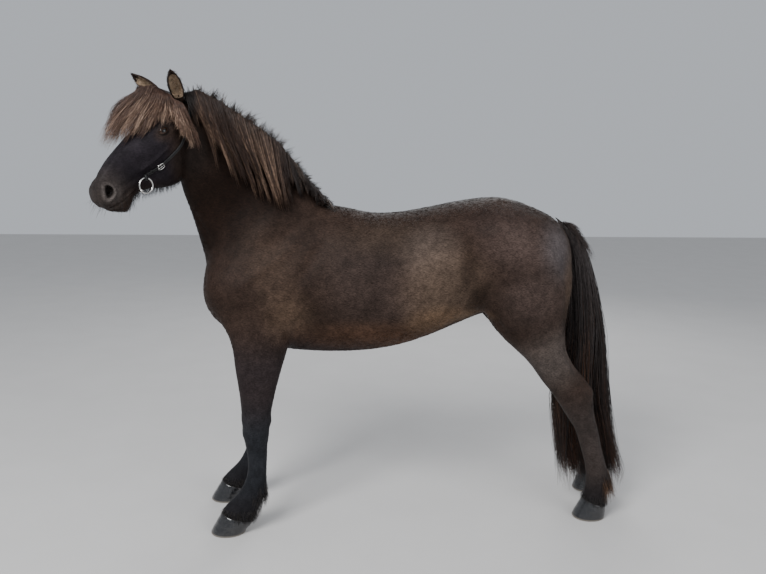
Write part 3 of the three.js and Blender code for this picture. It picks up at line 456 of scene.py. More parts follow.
# Specks left apart from the body are dropped
def keep_largest(mesh):
    a, b = rows_of(mesh.edges, "vertices", 2, np.int32).T
    label = np.arange(len(mesh.vertices))
    while True:
        low = np.minimum(label[a], label[b])
        before = label.copy()
        np.minimum.at(label, a, low)
        np.minimum.at(label, b, low)
        label = label[label]
        if (label == before).all():
            break
    keep = label == np.bincount(label).argmax()
    work = bmesh.new()
    work.from_mesh(mesh)
    work.verts.ensure_lookup_table()
    bmesh.ops.delete(work, geom=[v for v, kept in zip(work.verts, keep) if not kept], context="VERTS")
    work.to_mesh(mesh)
    work.free()


keep_largest(skin_mesh)


# How far points belong to the head rather than the neck, from a first to a last distance along the head
def headness(verts, low, high):
    return soft_step(to_head(verts)[:, 0], low, high) * (verts[:, 2] > NECK_ABOVE) * (verts[:, 0] < NECK_AHEAD)


# Junctions of the forms are smoothed most, legs and head least: [place], [reach]
verts = coordinates(skin_mesh)
on_head = headness(verts, -10, 60)
above_legs = soft_step(verts[:, 2], 420, 700)
share = mix(0.12, 0.62, above_legs) * (1 - 0.75 * on_head)
verts = smoothed(skin_mesh, verts, share, 30)
JUNCTIONS = [
    [[-700, 125, 1120], [90, 80, 110]],
    [[-600, 150, 1270], [110, 70, 90]],
    [[-440, 110, 1420], [110, 70, 80]],
    [[-300, 70, 1440], [90, 60, 60]],
    [[-560, 150, 800], [120, 90, 60]],
    [[480, 190, 900], [110, 70, 90]],
    [[700, 140, 1010], [100, 90, 100]],
    [[-800, 90, 1690], [60, 90, 90]],
    [[-840, 150, 1570], [60, 90, 60]],
    [[620, 235, 1095], [190, 60, 60]],
    [[480, 220, 1270], [90, 60, 60]],
    [[-575, 195, 925], [130, 60, 50]],
]
mirrored = np.stack([verts[:, 0], np.abs(verts[:, 1]), verts[:, 2]], 1)
share = 0.8 * np.clip(1.3 * sum(near_point(mirrored, at, reach) for at, reach in JUNCTIONS), 0, 1)
share *= soft_step(verts[:, 2], 420, 700)
verts = smoothed(skin_mesh, verts, share * (1 - 0.8 * on_head), 50, (1,))
set_coordinates(skin_mesh, verts)

# Muscles and hollows of the body, alike on both sides: [place], [reach], push outwards
BODY_SWELLS = [
    [[-690, 125, 1030], [75, 70, 90], 16],  # point of the shoulder
    [[-590, 200, 980], [110, 90, 150], 18],  # upper arm
    [[-465, 200, 920], [70, 80, 100], 18],  # muscle above the elbow
    [[-350, 210, 870], [60, 80, 90], -12],  # hollow behind the elbow
    [[460, 225, 1310], [60, 60, 55], 13],  # point of the hip
    [[345, 250, 1180], [90, 80, 110], -16],  # flank hollow
    [[640, 235, 1080], [130, 80, 150], 12],  # thigh
    [[-432, 165, 840], [34, 45, 38], 8],  # elbow
    [[-722, 62, 985], [45, 42, 80], 9],  # breast
    [[-640, 178, 775], [42, 34, 90], 6],  # front of the forearm
    [[-455, 178, 760], [40, 34, 80], 5],  # back of the forearm
    [[-485, 158, 487], [16, 30, 26], 7],  # bone behind the knee
    [[-604, 158, 500], [16, 40, 22], 3],  # top of the knee
    [[-604, 158, 436], [16, 40, 18], 3],  # foot of the knee
    [[-508, 158, 168], [18, 40, 20], 5],  # behind the fetlock
    [[-470, 130, 1290], [90, 60, 90], 5],  # shoulder blade
    [[510, 225, 905], [42, 50, 46], 9],  # stifle
    [[640, 200, 770], [60, 36, 80], 7],  # gaskin
    [[906, 140, 588], [20, 26, 26], 6],  # point of the hock
    [[848, 168, 566], [22, 18, 46], -7],  # hollow before it
    [[848, 112, 566], [22, 18, 46], -7],
    [[795, 176, 505], [24, 18, 30], 4],
    [[795, 104, 505], [24, 18, 30], 5],
    [[1014, 140, 170], [18, 40, 20], 5],
    [[715, 150, 1265], [40, 40, 45], 6],  # seat bone
    [[560, 60, 1395], [120, 45, 60], 5],  # croup beside the spine
    [[640, 0, 1400], [110, 150, 80], -11],  # the croup falls away to the dock
]
# Grooves of the body: points of a line, width, depth; a negative depth is a ridge
BODY_LINES = [
    [[[-395, 95, 1440], [-520, 140, 1330], [-650, 165, 1190], [-725, 120, 1080]], 30, 2.5],  # ahead of shoulder
    [[[-330, 150, 1290], [-440, 190, 1180], [-600, 205, 1060]], 22, -2.8],  # ridge of the shoulder blade
    [[[-270, 190, 1230], [-370, 215, 1070], [-412, 215, 930], [-405, 190, 860]], 28, 4.5],  # behind shoulder
    [[[-402, 120, 830], [-392, 170, 850], [-372, 205, 920]], 14, 9],  # fold behind the elbow
    [[[-752, 0, 1110], [-748, 0, 960], [-700, 0, 860]], 16, 7],  # between the breasts
    [[[-700, 75, 1200], [-770, 72, 1330], [-800, 74, 1470]], 15, 4],  # windpipe groove
    [[[455, 240, 1110], [432, 236, 1010], [440, 222, 935], [465, 190, 885]], 24, 9],  # before the thigh
    [[[140, 240, 965], [170, 235, 905], [182, 220, 870]], 9, 3],  # crease of the flank
    [[[715, 195, 1230], [742, 205, 1090], [752, 190, 960], [760, 165, 860]], 20, 6],  # down the thigh's back
    [[[600, 235, 1200], [660, 238, 1060], [650, 225, 930]], 24, 4],
    [[[770, 176, 760], [830, 172, 650], [880, 168, 590]], 14, 6],  # before the tendon of the hock
    [[[770, 104, 760], [830, 108, 650], [880, 112, 590]], 14, 6],
    [[[-523, 196, 400], [-522, 194, 240]], 8, 4],  # tendons behind the fore cannons
    [[[-523, 120, 400], [-522, 122, 240]], 8, 4],
    [[[-560, 196, 700], [-540, 200, 560]], 14, 3],
    [[[0, 0, 1352], [300, 0, 1402], [560, 0, 1412], [700, 0, 1350]], 22, 1.5],  # along the spine of the croup
]


# The right feet stand apart from the left: points low on that side are read where the left has them
def as_left(points):
    shifted = points.copy()
    right = points[:, 1] > 0
    fore = right & (points[:, 0] < -150)
    hind = right & (points[:, 0] > 150)
    shifted[fore, 0] -= RIGHT_FORE_SHIFT * np.maximum(0, 1 - points[fore, 2] / FORE_REACH)
    shifted[hind, 0] -= RIGHT_HIND_SHIFT * np.maximum(0, 1 - points[hind, 2] / HIND_REACH)
    shifted[:, 1] = np.abs(shifted[:, 1])
    return shifted


def pushed(mesh, place, swells, lines, weight):
    verts = coordinates(mesh)
    push = np.zeros(len(verts))
    for at, reach, most in swells:
        push += most * near_point(place, at, reach)
    for line, width, depth in lines:
        push -= depth * near_line(place, line, width)
    set_coordinates(mesh, verts + normals_of(mesh) * (push * weight)[:, None])


verts = coordinates(skin_mesh)
pushed(skin_mesh, as_left(verts), BODY_SWELLS, BODY_LINES, 1 - headness(verts, -60, 20))

# Finer faces for the head, and finer still round eyes, nostrils and mouth
EYE_AT = np.array([170.0, 74, -40])
EYE_RADIUS = 22
EYE_OUT = unit([0.1, 1, 0.28])
NOSTRIL_AT = np.array([474.0, 51, -60])
NOSTRIL_OUT = unit([0.5, 1, 0.25])
MOUTH = [[372, -136], [420, -128], [470, -118], [520, -104]]
LEVEL = np.array([1.0, 0, 0.16])  # how the eye's opening lies in the head


# An eye's middle and its directions outwards, along the opening and up, on one side of the head
def eye_frame(side):
    at = EYE_AT * [1, side, 1]
    out = EYE_OUT * [1, side, 1]
    along = unit(LEVEL - out * np.dot(LEVEL, out))
    up = np.cross(along, out)
    return at, out, along, up * np.sign(up[2])


def refined(mesh, chosen):
    work = bmesh.new()
    work.from_mesh(mesh)
    work.verts.ensure_lookup_table()
    edges = [e for e in work.edges if chosen[e.verts[0].index] and chosen[e.verts[1].index]]
    bmesh.ops.subdivide_edges(work, edges=edges, cuts=1, use_grid_fill=True)
    work.to_mesh(mesh)
    work.free()


# Which points are of the head, and where they lie in its own frame
def head_mask(verts):
    place = to_head(verts)
    near = (place[:, 0] > -20) & (np.abs(place[:, 1]) < 130)
    return near & (verts[:, 2] > FACE_ABOVE) & (verts[:, 0] < FACE_AHEAD), place


def mirrored_head(place):
    return np.stack([place[:, 0], np.abs(place[:, 1]), place[:, 2]], 1)


refined(skin_mesh, head_mask(coordinates(skin_mesh))[0])
verts = coordinates(skin_mesh)
set_coordinates(skin_mesh, smoothed(skin_mesh, verts, head_mask(verts)[0] * 0.5, 6))

# Muscles, bones and hollows of the head in its own frame: [place], [reach], push outwards
HEAD_SWELLS = [
    [[135, 84, -12], [34, 26, 24], 9],  # brow
    [[190, 88, -62], [55, 30, 24], 7],  # cheekbone
    [[130, 78, -180], [60, 50, 60], 9],  # jowl
    [[84, 72, -14], [24, 28, 26], -9],  # hollow over the eye
    [[300, 60, -140], [60, 40, 40], -8],  # cheek before the jowl
    [[310, 62, -60], [60, 30, 22], -4],  # beside the nose
    [[478, 48, -54], [28, 30, 28], 9],  # nostril
    [[440, 44, -92], [34, 26, 24], 4],  # upper lip
    [[424, 48, -38], [34, 32, 38], -8],  # hollow behind the nostril
    [[470, 20, -150], [28, 42, 22], 7],  # chin
    [[500, 26, -88], [20, 34, 24], 4],  # front of the upper lip
    [[176, 84, -66], [26, 20, 9], -2.5],  # under the eye
    [[62, 40, -4], [34, 26, 20], 4],  # crown
    [[52, 74, -140], [16, 30, 60], -6],  # behind the jaw
]
# Grooves of the head: points of a line, width, depth; a negative depth is a ridge
HEAD_LINES = [
    [[[205, 90, -92], [262, 78, -94], [320, 62, -92]], 9, -5],  # crest of the cheekbone
    [[[262, 60, -232], [285, 70, -190], [270, 80, -140], [235, 88, -112]], 12, 4],  # edge of the jaw muscle
    [[[250, 34, 4], [340, 32, 2], [430, 26, -6]], 10, -2.5],  # edge of the nose bone
    [[[330, 60, -108], [390, 52, -92], [440, 50, -76]], 12, 3],  # before the nostril
    [[[285, 66, -150], [330, 60, -128], [372, 54, -112]], 5, -1.6],  # vein
    [[[420, 0, -160], [520, 0, -120]], 6, 3],  # middle of the chin
    [[[490, 0, -30], [514, 0, -90]], 5, 1.5],  # middle of the upper lip
]
verts = coordinates(skin_mesh)
chosen, place = head_mask(verts)
weight = soft_step(place[:, 0], -20, 50) * chosen
pushed(skin_mesh, mirrored_head(place), HEAD_SWELLS, HEAD_LINES, weight)

verts = coordinates(skin_mesh)
chosen, place = head_mask(verts)
sides = mirrored_head(place)
FINE_REACH = 42
fine = np.linalg.norm(sides - EYE_AT, axis=1) < FINE_REACH
fine |= np.linalg.norm(sides - NOSTRIL_AT, axis=1) < FINE_REACH
fine |= (place[:, 0] > 365) & (place[:, 2] < -92) & (place[:, 2] > -150)  # round the mouth
refined(skin_mesh, fine & chosen)

# The skin lies inside the solids by the coat's depth
set_coordinates(skin_mesh, coordinates(skin_mesh) - normals_of(skin_mesh) * COAT_DEPTH)

# Lids: the skin bulges over the eyeball round an almond opening, where it dips behind it
LID_THICK = 3.2
SLIT_LONG, SLIT_HIGH = 19.5, 9.5  # half length and half height of the opening
UPPER_LID, LOWER_LID = 1.12, 0.85  # how far each lid bows
LID_REACH = 60
verts = coordinates(skin_mesh)
chosen, place = head_mask(verts)
side_of = np.sign(place[:, 1])
place = mirrored_head(place)
gap = place - EYE_AT
_, _, slit_along, slit_up = eye_frame(1)
u, w, out = gap @ slit_along, gap @ slit_up, gap @ EYE_OUT
height = np.where(w > 0, SLIT_HIGH * UPPER_LID, SLIT_HIGH * LOWER_LID)
lid = np.sqrt((u / SLIT_LONG) ** 2 + (w / height) ** 2) - 1
near_eye = chosen & (np.linalg.norm(gap, axis=1) < LID_REACH) & (out > -6)
lid_radius = EYE_RADIUS + LID_THICK - 6 * (1 - soft_step(lid, -0.06, 0.1))
surface = EYE_AT + unit(gap) * lid_radius[:, None]
hold = (1 - soft_step(lid, 0.25, 1.5)) * near_eye
place = place + hold[:, None] * (surface - place)
LID_FOLD = [[-17, 12], [-8, 16], [4, 17], [16, 12]]
UNDER_FOLD = [[-16, -13], [-4, -15], [12, -13]]
opening = np.stack([u, w], 1)
fold = near_line(opening, LID_FOLD, 2.2) * near_eye * (out > 0)
fold += 0.7 * near_line(opening, UNDER_FOLD, 2.4) * near_eye * (out > 0)
place -= (1.8 * fold)[:, None] * EYE_OUT

# Nostrils: a comma-shaped hollow with a raised rim
NOSTRIL_LEAN = np.array([-0.55, 0, 0.84])
gap = place - NOSTRIL_AT
nostril_long = unit(NOSTRIL_LEAN - NOSTRIL_OUT * np.dot(NOSTRIL_LEAN, NOSTRIL_OUT))
nostril_wide = np.cross(nostril_long, NOSTRIL_OUT)
u, w, out = gap @ nostril_long, gap @ nostril_wide, gap @ NOSTRIL_OUT
bent = w + 0.012 * u * u - 1.5
hole = np.sqrt((u / 25) ** 2 + (bent / 16) ** 2)
near_nostril = chosen & (np.abs(out) < 34)
place -= (24 * (1 - soft_step(hole, 0.55, 1.02)) * near_nostril)[:, None] * NOSTRIL_OUT
place += (6 * np.exp(-(((hole - 1.38) / 0.32) ** 2)) * near_nostril)[:, None] * NOSTRIL_OUT
inner_fold = np.exp(-(((u - 3) / 12) ** 2) - (((bent + 6) / 5) ** 2)) * near_nostril
place += (9 * inner_fold)[:, None] * NOSTRIL_OUT

# The mouth: a narrow fold that runs back to the bit
line = np.array([[a, z] for a, z in MOUTH], float)
depth = near_line(place[:, [0, 2]], line, 2.1) * chosen
lips = near_line(place[:, [0, 2]], line + [0, 6], 5) + 0.9 * near_line(place[:, [0, 2]], line - [0, 6], 5)
inward = unit(place - np.stack([np.full(len(place), 420.0), np.zeros(len(place)), place[:, 2]], 1))
place -= (5.5 * depth * (place[:, 0] > 366))[:, None] * inward
place += (1.8 * lips * chosen * (place[:, 0] > 380))[:, None] * inward
place[:, 1] *= side_of
verts = np.where(chosen[:, None], from_head(place), verts)
set_coordinates(skin_mesh, verts)

# Ears: a leaf scooped out to a cup, z up the ear and x out of its mouth: [up, front, back, half width]
EAR_OUTER = [
    [-18, 12, -12, 15],
    [2, 15, -17, 21],
    [28, 14, -19, 27],
    [60, 12, -17, 28],
    [90, 9, -13, 22],
    [112, 6, -8, 13],
    [124, 3, -4, 6],
    [131, 1, -1, 1.5],
]
EAR_SCOOP = [
    [12, 44, 2, 5],
    [30, 44, -14, 19],
    [60, 44, -14, 24.5],
    [90, 44, -10, 19],
    [108, 44, -5.5, 10.5],
    [123, 44, -1, 3.5],
]
EARS = {
    "left": ([14, 56, -4], [-0.05, 0.45, 1], [0.6, 0.8, 0], 1.0),
    "right": ([14, -58, 0], [0.02, -0.56, 1], [0.75, 0.55, 0], 1.04),
}


def ear_frame(name):
    root, lean, mouth, size = EARS[name]
    up = unit(lean)
    out = unit(np.array(mouth) - up * np.dot(mouth, up))
    return np.stack([out, np.cross(up, out), up]), np.array(root, float), size


def ear_rings(rows, steps, sides, name, shrink):
    up, front, back, half = place_rows(rows, steps).T
    zero = np.zeros_like(up)
    side = np.tile([0.0, 1, 0], (len(up), 1))
    flat = np.ones_like(up)
    rings = rings_of(
        np.stack([front - shrink, zero, up], 1),
        np.stack([back + shrink, zero, up], 1),
        np.maximum(half - shrink, 0.8),
        side,
        flat * 0.5,
        (flat * 2, flat * 2),
        sides,
    )
    turn, root, size = ear_frame(name)
    return from_head(rings @ turn * size + root)


def cut_out(body, tool):
    cut = body.modifiers.new("cut", "BOOLEAN")
    cut.operation = "DIFFERENCE"
    cut.object = tool
    cut.solver = "EXACT"
    mesh = bpy.data.meshes.new_from_object(body.evaluated_get(bpy.context.evaluated_depsgraph_get()))
    bpy.data.objects.remove(body)
    bpy.data.objects.remove(tool)
    return mesh


ear_meshes = []
for name in EARS:
    outer = loose("ear_outer", skin_of(ear_rings(EAR_OUTER, 5, 40, name, 1.2)))
    scoop = loose("ear_scoop", skin_of(ear_rings(EAR_SCOOP, 5, 36, name, 0)))
    bpy.context.view_layer.update()
    ear_meshes.append(cut_out(outer, scoop))
for ear in ear_meshes:
    work = bmesh.new()
    work.from_mesh(skin_mesh)
    work.from_mesh(ear)
    work.to_mesh(skin_mesh)
    work.free()
skin_mesh.shade_smooth()

# The skin's triangles, for roots of hair, and a tree for lines that meet it
skin_mesh.calc_loop_triangles()
corners = rows_of(skin_mesh.loop_triangles, "vertices", 3, np.int32)
SKIN = coordinates(skin_mesh)
tri_cross = np.cross(SKIN[corners[:, 1]] - SKIN[corners[:, 0]], SKIN[corners[:, 2]] - SKIN[corners[:, 0]])
TRI_AREA = np.linalg.norm(tri_cross, axis=1) / 2
TRI_MIDDLE = SKIN[corners].mean(1)
TRI_NORMAL = unit(tri_cross)
TREE = BVHTree.FromPolygons(SKIN.tolist(), corners.tolist())
FAR = 700


# Where a line that comes in from outside first meets the skin, lifted off it along the line
def on_skin(inside, outward, lift):
    start = Vector(inside) + Vector(outward) * FAR
    hit, normal, _, _ = TREE.ray_cast(start, -Vector(outward), FAR)
    point = Vector(inside) if hit is None else hit
    return np.array(point) + np.asarray(outward) * lift, np.array(outward if hit is None else normal)


# An unwrap of the skin's own shape: each part of the body laid out flat from the six sides of its own frame
SIDES = np.array([[1, 0, 0], [-1, 0, 0], [0, 1, 0], [0, -1, 0], [0, 0, 1], [0, 0, -1]], float)


# The part of the body that points lie on: 0-2 trunk, 3 neck, 4 head, 5-6 ears, 7 and on legs
def part_of(points):
    place = to_head(points)
    x, y, z = points.T
    part = np.where(x < -250, 0, np.where(x < 250, 1, 2))
    part = np.where((z > 1250 + (x + 520) * 0.8) & (x < -150), 3, part)
    part = np.where((place[:, 0] > -20) & (z > FACE_ABOVE) & (x < FACE_AHEAD), 4, part)
    part = np.where((part == 4) & (place[:, 2] > 14) & (place[:, 0] < 70), 5 + (place[:, 1] < 0), part)
    leg = (x > 0) * 4 + (y > 0) * 2
    part = np.where((z < 760) & (x < 0), 7 + leg + (z < 400), part)
    return np.where((z < 900) & (x > 380), 7 + leg + (z < 400), part)


def chart_of(points, normals):
    part = part_of(points)
    turned = np.where(((part >= 4) & (part <= 6))[:, None], normals @ HEAD_TURN.T, normals)
    return part * 6 + np.argmax(turned @ SIDES.T, axis=1)


def flat_of(points, chart):
    headed = (chart // 6 >= 4) & (chart // 6 <= 6)
    place = np.where(headed[:, None], to_head(points), points)
    axis = (chart % 6) // 2
    first = np.where(axis == 0, place[:, 1], place[:, 0])
    second = np.where(axis == 2, place[:, 1], place[:, 2])
    return np.stack([first, second], 1)


CHART_GAP = 12
CHART_COUNT = 200
tri_chart = chart_of(TRI_MIDDLE, TRI_NORMAL)
tri_flat = flat_of(TRI_MIDDLE, tri_chart)
chart_low, chart_at = {}, {}
boxes = []
for chart in np.unique(tri_chart):
    spread = tri_flat[tri_chart == chart]
    low, high = spread.min(0) - CHART_GAP, spread.max(0) + CHART_GAP
    chart_low[chart] = low
    boxes.append((high[1] - low[1], high[0] - low[0], chart))
ATLAS_WIDTH = 3400
shelf_x = shelf_y = shelf_high = 0.0
for high, wide, chart in sorted(boxes, reverse=True):
    if shelf_x + wide > ATLAS_WIDTH:
        shelf_x, shelf_y, shelf_high = 0.0, shelf_y + shelf_high, 0.0
    chart_at[chart] = np.array([shelf_x, shelf_y])
    shelf_x += wide
    shelf_high = max(shelf_high, high)
ATLAS_SIZE = max(ATLAS_WIDTH, shelf_y + shelf_high)
chart_move = np.zeros((CHART_COUNT, 2))
for chart, at in chart_at.items():
    chart_move[chart] = at - chart_low[chart]


def unwrap(points, normals):
    chart = chart_of(points, normals)
    return np.clip((flat_of(points, chart) + chart_move[chart]) / ATLAS_SIZE, 0.004, 0.996)


# Hair. Each strand or tuft is a closed three-sided sliver that tapers to a tip
PATCH = 0.003  # how far a tuft's patch reaches across the unwrap
RANDOM = np.random.default_rng(7)
LOCK_RINGS = 9
TAIL_RINGS = 11


def strands(
    name, paths, half_widths, outward, roots, root_normals, tones, material, slot,
    replaces=(), core=None, shading=None,
):
    count, rings = paths.shape[:2]
    along = unit(np.gradient(paths, axis=1))
    across = unit(np.cross(along, outward))
    out = np.cross(across, along)
    w = half_widths[..., None]
    body = np.stack([paths + across * w, paths - across * w, paths + out * w * 0.7], 2)[:, : rings - 1]
    each = (rings - 1) * 3 + 1
    verts = np.concatenate([body.reshape(count, -1, 3), paths[:, -1:]], 1).reshape(-1, 3)
    quads = []
    for ring in range(rings - 2):
        a, b = ring * 3, ring * 3 + 3
        quads += [[a, a + 1, b + 1, b], [a + 1, a + 2, b + 2, b + 1], [a + 2, a, b, b + 2]]
    end, tip = (rings - 2) * 3, each - 1
    tris = [[end, end + 1, tip], [end + 1, end + 2, tip], [end + 2, end, tip], [2, 1, 0]]
    start = (np.arange(count) * each)[:, None, None]
    quads = (np.array(quads, int).reshape(-1, 4)[None] + start).reshape(-1, 4)
    tris = (np.array(tris)[None] + start).reshape(-1, 3)
    share = np.append(np.repeat(np.linspace(0, 1, rings)[:-1], 3), 1.0)
    slide = np.append(np.tile([-0.5, 0.5, 0.0], rings - 1), 0.0)
    centre = unwrap(roots, root_normals)
    uv = centre[:, None] + PATCH * np.stack([slide, share - 0.5], 1)[None]
    uv = uv.reshape(-1, 2)
    along_values = np.tile(share, count)
    tone_values = np.repeat(tones, each)
    if core is not None:
        core_verts, core_quads, core_tris, core_normals, core_share = core
        quads = np.concatenate([quads, core_quads + len(verts)])
        tris = np.concatenate([tris, core_tris + len(verts)])
        verts = np.concatenate([verts, core_verts])
        uv = np.concatenate([uv, unwrap(core_verts, core_normals)])
        along_values = np.concatenate([along_values, core_share])
        tone_values = np.concatenate([tone_values, np.full(len(core_verts), 0.3)])
    mesh = mesh_of(name, verts, quads, tris)
    loops = rows_of(mesh.loops, "vertex_index", 1, np.int32).ravel()
    layer = mesh.uv_layers.new(name="OFBake")
    layer.data.foreach_set("uv", uv[loops].astype(np.float32).ravel())
    set_values(mesh, {"along": along_values, "tone": tone_values})
    if shading is not None:
        mesh.normals_split_custom_set_from_vertices(np.repeat(shading, each, 0))
    return piece_of(name, mesh, material, replaces)


# Points on a grid of guide paths, at places between the guides and shares of the way along them
def on_guides(grid, guide, share):
    rows, points = grid.shape[:2]
    g = np.clip(guide, 0, rows - 1.001)
    s = np.clip(share, 0, 1) * (points - 1.001)
    gi, si = g.astype(int), s.astype(int)
    gt, st = (g - gi)[..., None], (s - si)[..., None]
    low = mix(grid[gi, si], grid[gi, si + 1], st)
    high = mix(grid[gi + 1, si], grid[gi + 1, si + 1], st)
    return mix(low, high, gt)


# Half widths along strands: narrow at the root, widest a little on, and down to nothing at the tip
def tapered(widths, rings, tip_power=0.8):
    share = np.linspace(0, 1, rings)
    shape = (0.6 + 0.4 * np.minimum(share * 4, 1)) * (1 - share**2.2) ** tip_power
    return widths[:, None] * shape / 2


# Slow waves that grow along the strands
def wavy(count, rings, size):
    share = np.linspace(0, 1, rings)
    phase = RANDOM.uniform(0, 2 * math.pi, (count, 1, 3))
    turns = RANDOM.uniform(0.7, 1.8, (count, 1, 3))
    wave = np.sin(phase + share[None, :, None] * turns * 2 * math.pi) - np.sin(phase)
    return wave * size * share[None, :, None]


# Mane: how far its hair falls along the crest: [x, length]
MANE_FALL = [
    [-792, 130],
    [-760, 215],
    [-737, 285],
    [-660, 320],
    [-560, 315],
    [-470, 322],
    [-440, 262],
    [-400, 150],
    [-350, 92],
    [-290, 58],
    [-230, 36],
]
MANE_RISE = 46
MANE_FROM, MANE_TO = -792, -240
WITHERS = [[-180, 0, 1373], [-123, 0, 1362], [-60, 0, 1350]]
CREST = np.array(sorted([[row[0], row[5], row[1]] for row in NECK[1:]] + WITHERS), float)


def crest_at(x):
    return np.stack([x, np.interp(x, CREST[:, 0], CREST[:, 1]), np.interp(x, CREST[:, 0], CREST[:, 2])], -1)


def looked_up(x, table):
    return np.interp(x, *np.array(table, float).T)


GUIDE_POINTS = 24
MANE_GUIDES = 30


# Guide paths of the mane on one side: up off the crest, over, and down along the neck
def mane_guides(side, most, share_of):
    grid = []
    for x in np.linspace(MANE_FROM, MANE_TO, MANE_GUIDES):
        root = crest_at(x)
        length = min(looked_up(x, MANE_FALL), most) * share_of
        rise = MANE_RISE * soft_step(length, 20, 240) * mix(0.6, 1, soft_step(x, -800, -740))
        drift = length * mix(0.20, 0.38, soft_step(-x, 420, 720))
        path = [root + [0, 0, -6], root + [-2, side * 7, rise * 0.62], root + [4, side * 26, rise * 0.95]]
        for share in (0.25, 0.5, 0.75, 1.0):
            inside = root + [6 + drift * share, 0, rise * 0.4 - length * share]
            lift = 8 + 12 * math.sin(share * math.pi) + (10 if share == 0.25 else 0)
            point, _ = on_skin(inside, unit([0, side, 0.1]), lift)
            point[1] = side * max(side * point[1], side * root[1] + 34 + 20 * share)
            path.append(point)
        grid.append(between(path, np.linspace(0, len(path) - 1.0001, GUIDE_POINTS)))
    return np.array(grid)


# Which clump each strand is in, where the clump's middle lies, and where the strand starts
def clumped(count, clumps, low, high, spread):
    middle = np.linspace(low, high, clumps) + RANDOM.uniform(-0.3, 0.3, clumps) * (high - low) / clumps
    which = RANDOM.integers(0, clumps, count)
    return which, middle[which], middle[which] + RANDOM.normal(0, spread, count)


def mane_strands(side, most, share_of, count, clumps, rings=LOCK_RINGS):
    grid = mane_guides(side, most, share_of)
    which, centre, start = clumped(count, clumps, MANE_FROM, MANE_TO, 16)
    start = np.clip(start, MANE_FROM, MANE_TO)
    clump_length = RANDOM.uniform(0.66, 1.08, clumps)[which]
    clump_lift = RANDOM.uniform(0, 16, clumps)[which]
    clump_drift = RANDOM.normal(0, 20, clumps)[which]
    length = np.clip(clump_length * RANDOM.uniform(0.55, 1.0, count) ** 0.5, 0.3, 1.02)
    share = np.linspace(0, 1, rings)[None] * length[:, None]
    gather = np.clip(share * 1.1, 0, 0.86)
    x = mix(start[:, None], centre[:, None], gather)
    guide = (x - MANE_FROM) / (MANE_TO - MANE_FROM) * (len(grid) - 1)
    paths = on_guides(grid, guide, share)
    outward = np.tile(unit([0.0, side, 0.35]), (count, rings, 1))
    lift = (clump_lift + RANDOM.uniform(0, 9, count))[:, None] * soft_step(share, 0.0, 0.35)
    paths = paths + outward * lift[..., None]
    paths[..., 0] += clump_drift[:, None] * share**1.5
    paths[:, 0, 1] += RANDOM.uniform(-9, 9, count)
    paths = paths + wavy(count, rings, 3.2)
    roots = crest_at(start)
    normals = np.tile([0.0, side * 0.3, 1.0], (count, 1))
    tone = np.clip(RANDOM.uniform(-0.2, 1, clumps)[which] * 0.55 + RANDOM.uniform(0, 0.48, count), 0, 1)
    return paths, outward, roots, normals, tone


# How tall the hair stands along the crest: [x, height]
CREST_TALL = [
    [-792, 56],
    [-755, 86],
    [-700, 112],
    [-640, 108],
    [-560, 102],
    [-460, 94],
    [-400, 54],
    [-320, 26],
    [-240, 15],
]


def crest_strands(count, clumps, rings=LOCK_RINGS):
    which, centre, start = clumped(count, clumps, MANE_FROM, MANE_TO, 8)
    start = np.clip(start, MANE_FROM, MANE_TO)
    tall = looked_up(start, CREST_TALL) * RANDOM.uniform(0.62, 1.16, clumps)[which]
    tall = tall * RANDOM.uniform(0.5, 1.05, count)
    lean = -RANDOM.uniform(-0.30, 0.62, clumps)[which] + RANDOM.normal(0, 0.16, count)
    back = mix(0.9, 0.12, soft_step(-start, 300, 520)) + RANDOM.normal(0.12, 0.28, clumps)[which]
    share = np.linspace(0, 1, rings)[None]
    paths = np.repeat(crest_at(start)[:, None], rings, 1)
    paths[..., 0] += (centre - start)[:, None] * 0.75 * share + tall[:, None] * back[:, None] * share**1.5
    paths[..., 1] += RANDOM.uniform(-11, 11, count)[:, None] * (1 - 0.6 * share)
    paths[..., 1] += tall[:, None] * lean[:, None] * share**1.7
    upright = 1 - 0.45 * np.clip(back, 0, 1)
    paths[..., 2] += -6 + tall[:, None] * upright[:, None] * (share - 0.12 * share**3)
    paths = paths + wavy(count, rings, 3.0)
    outward = np.tile([0.0, -1.0, 0.2], (count, rings, 1))
    tone = np.clip(RANDOM.uniform(0, 1, clumps)[which] * 0.5 + RANDOM.uniform(0, 0.4, count), 0, 1)
    return paths, outward, crest_at(start), np.tile([0.0, 0, 1], (count, 1)), tone


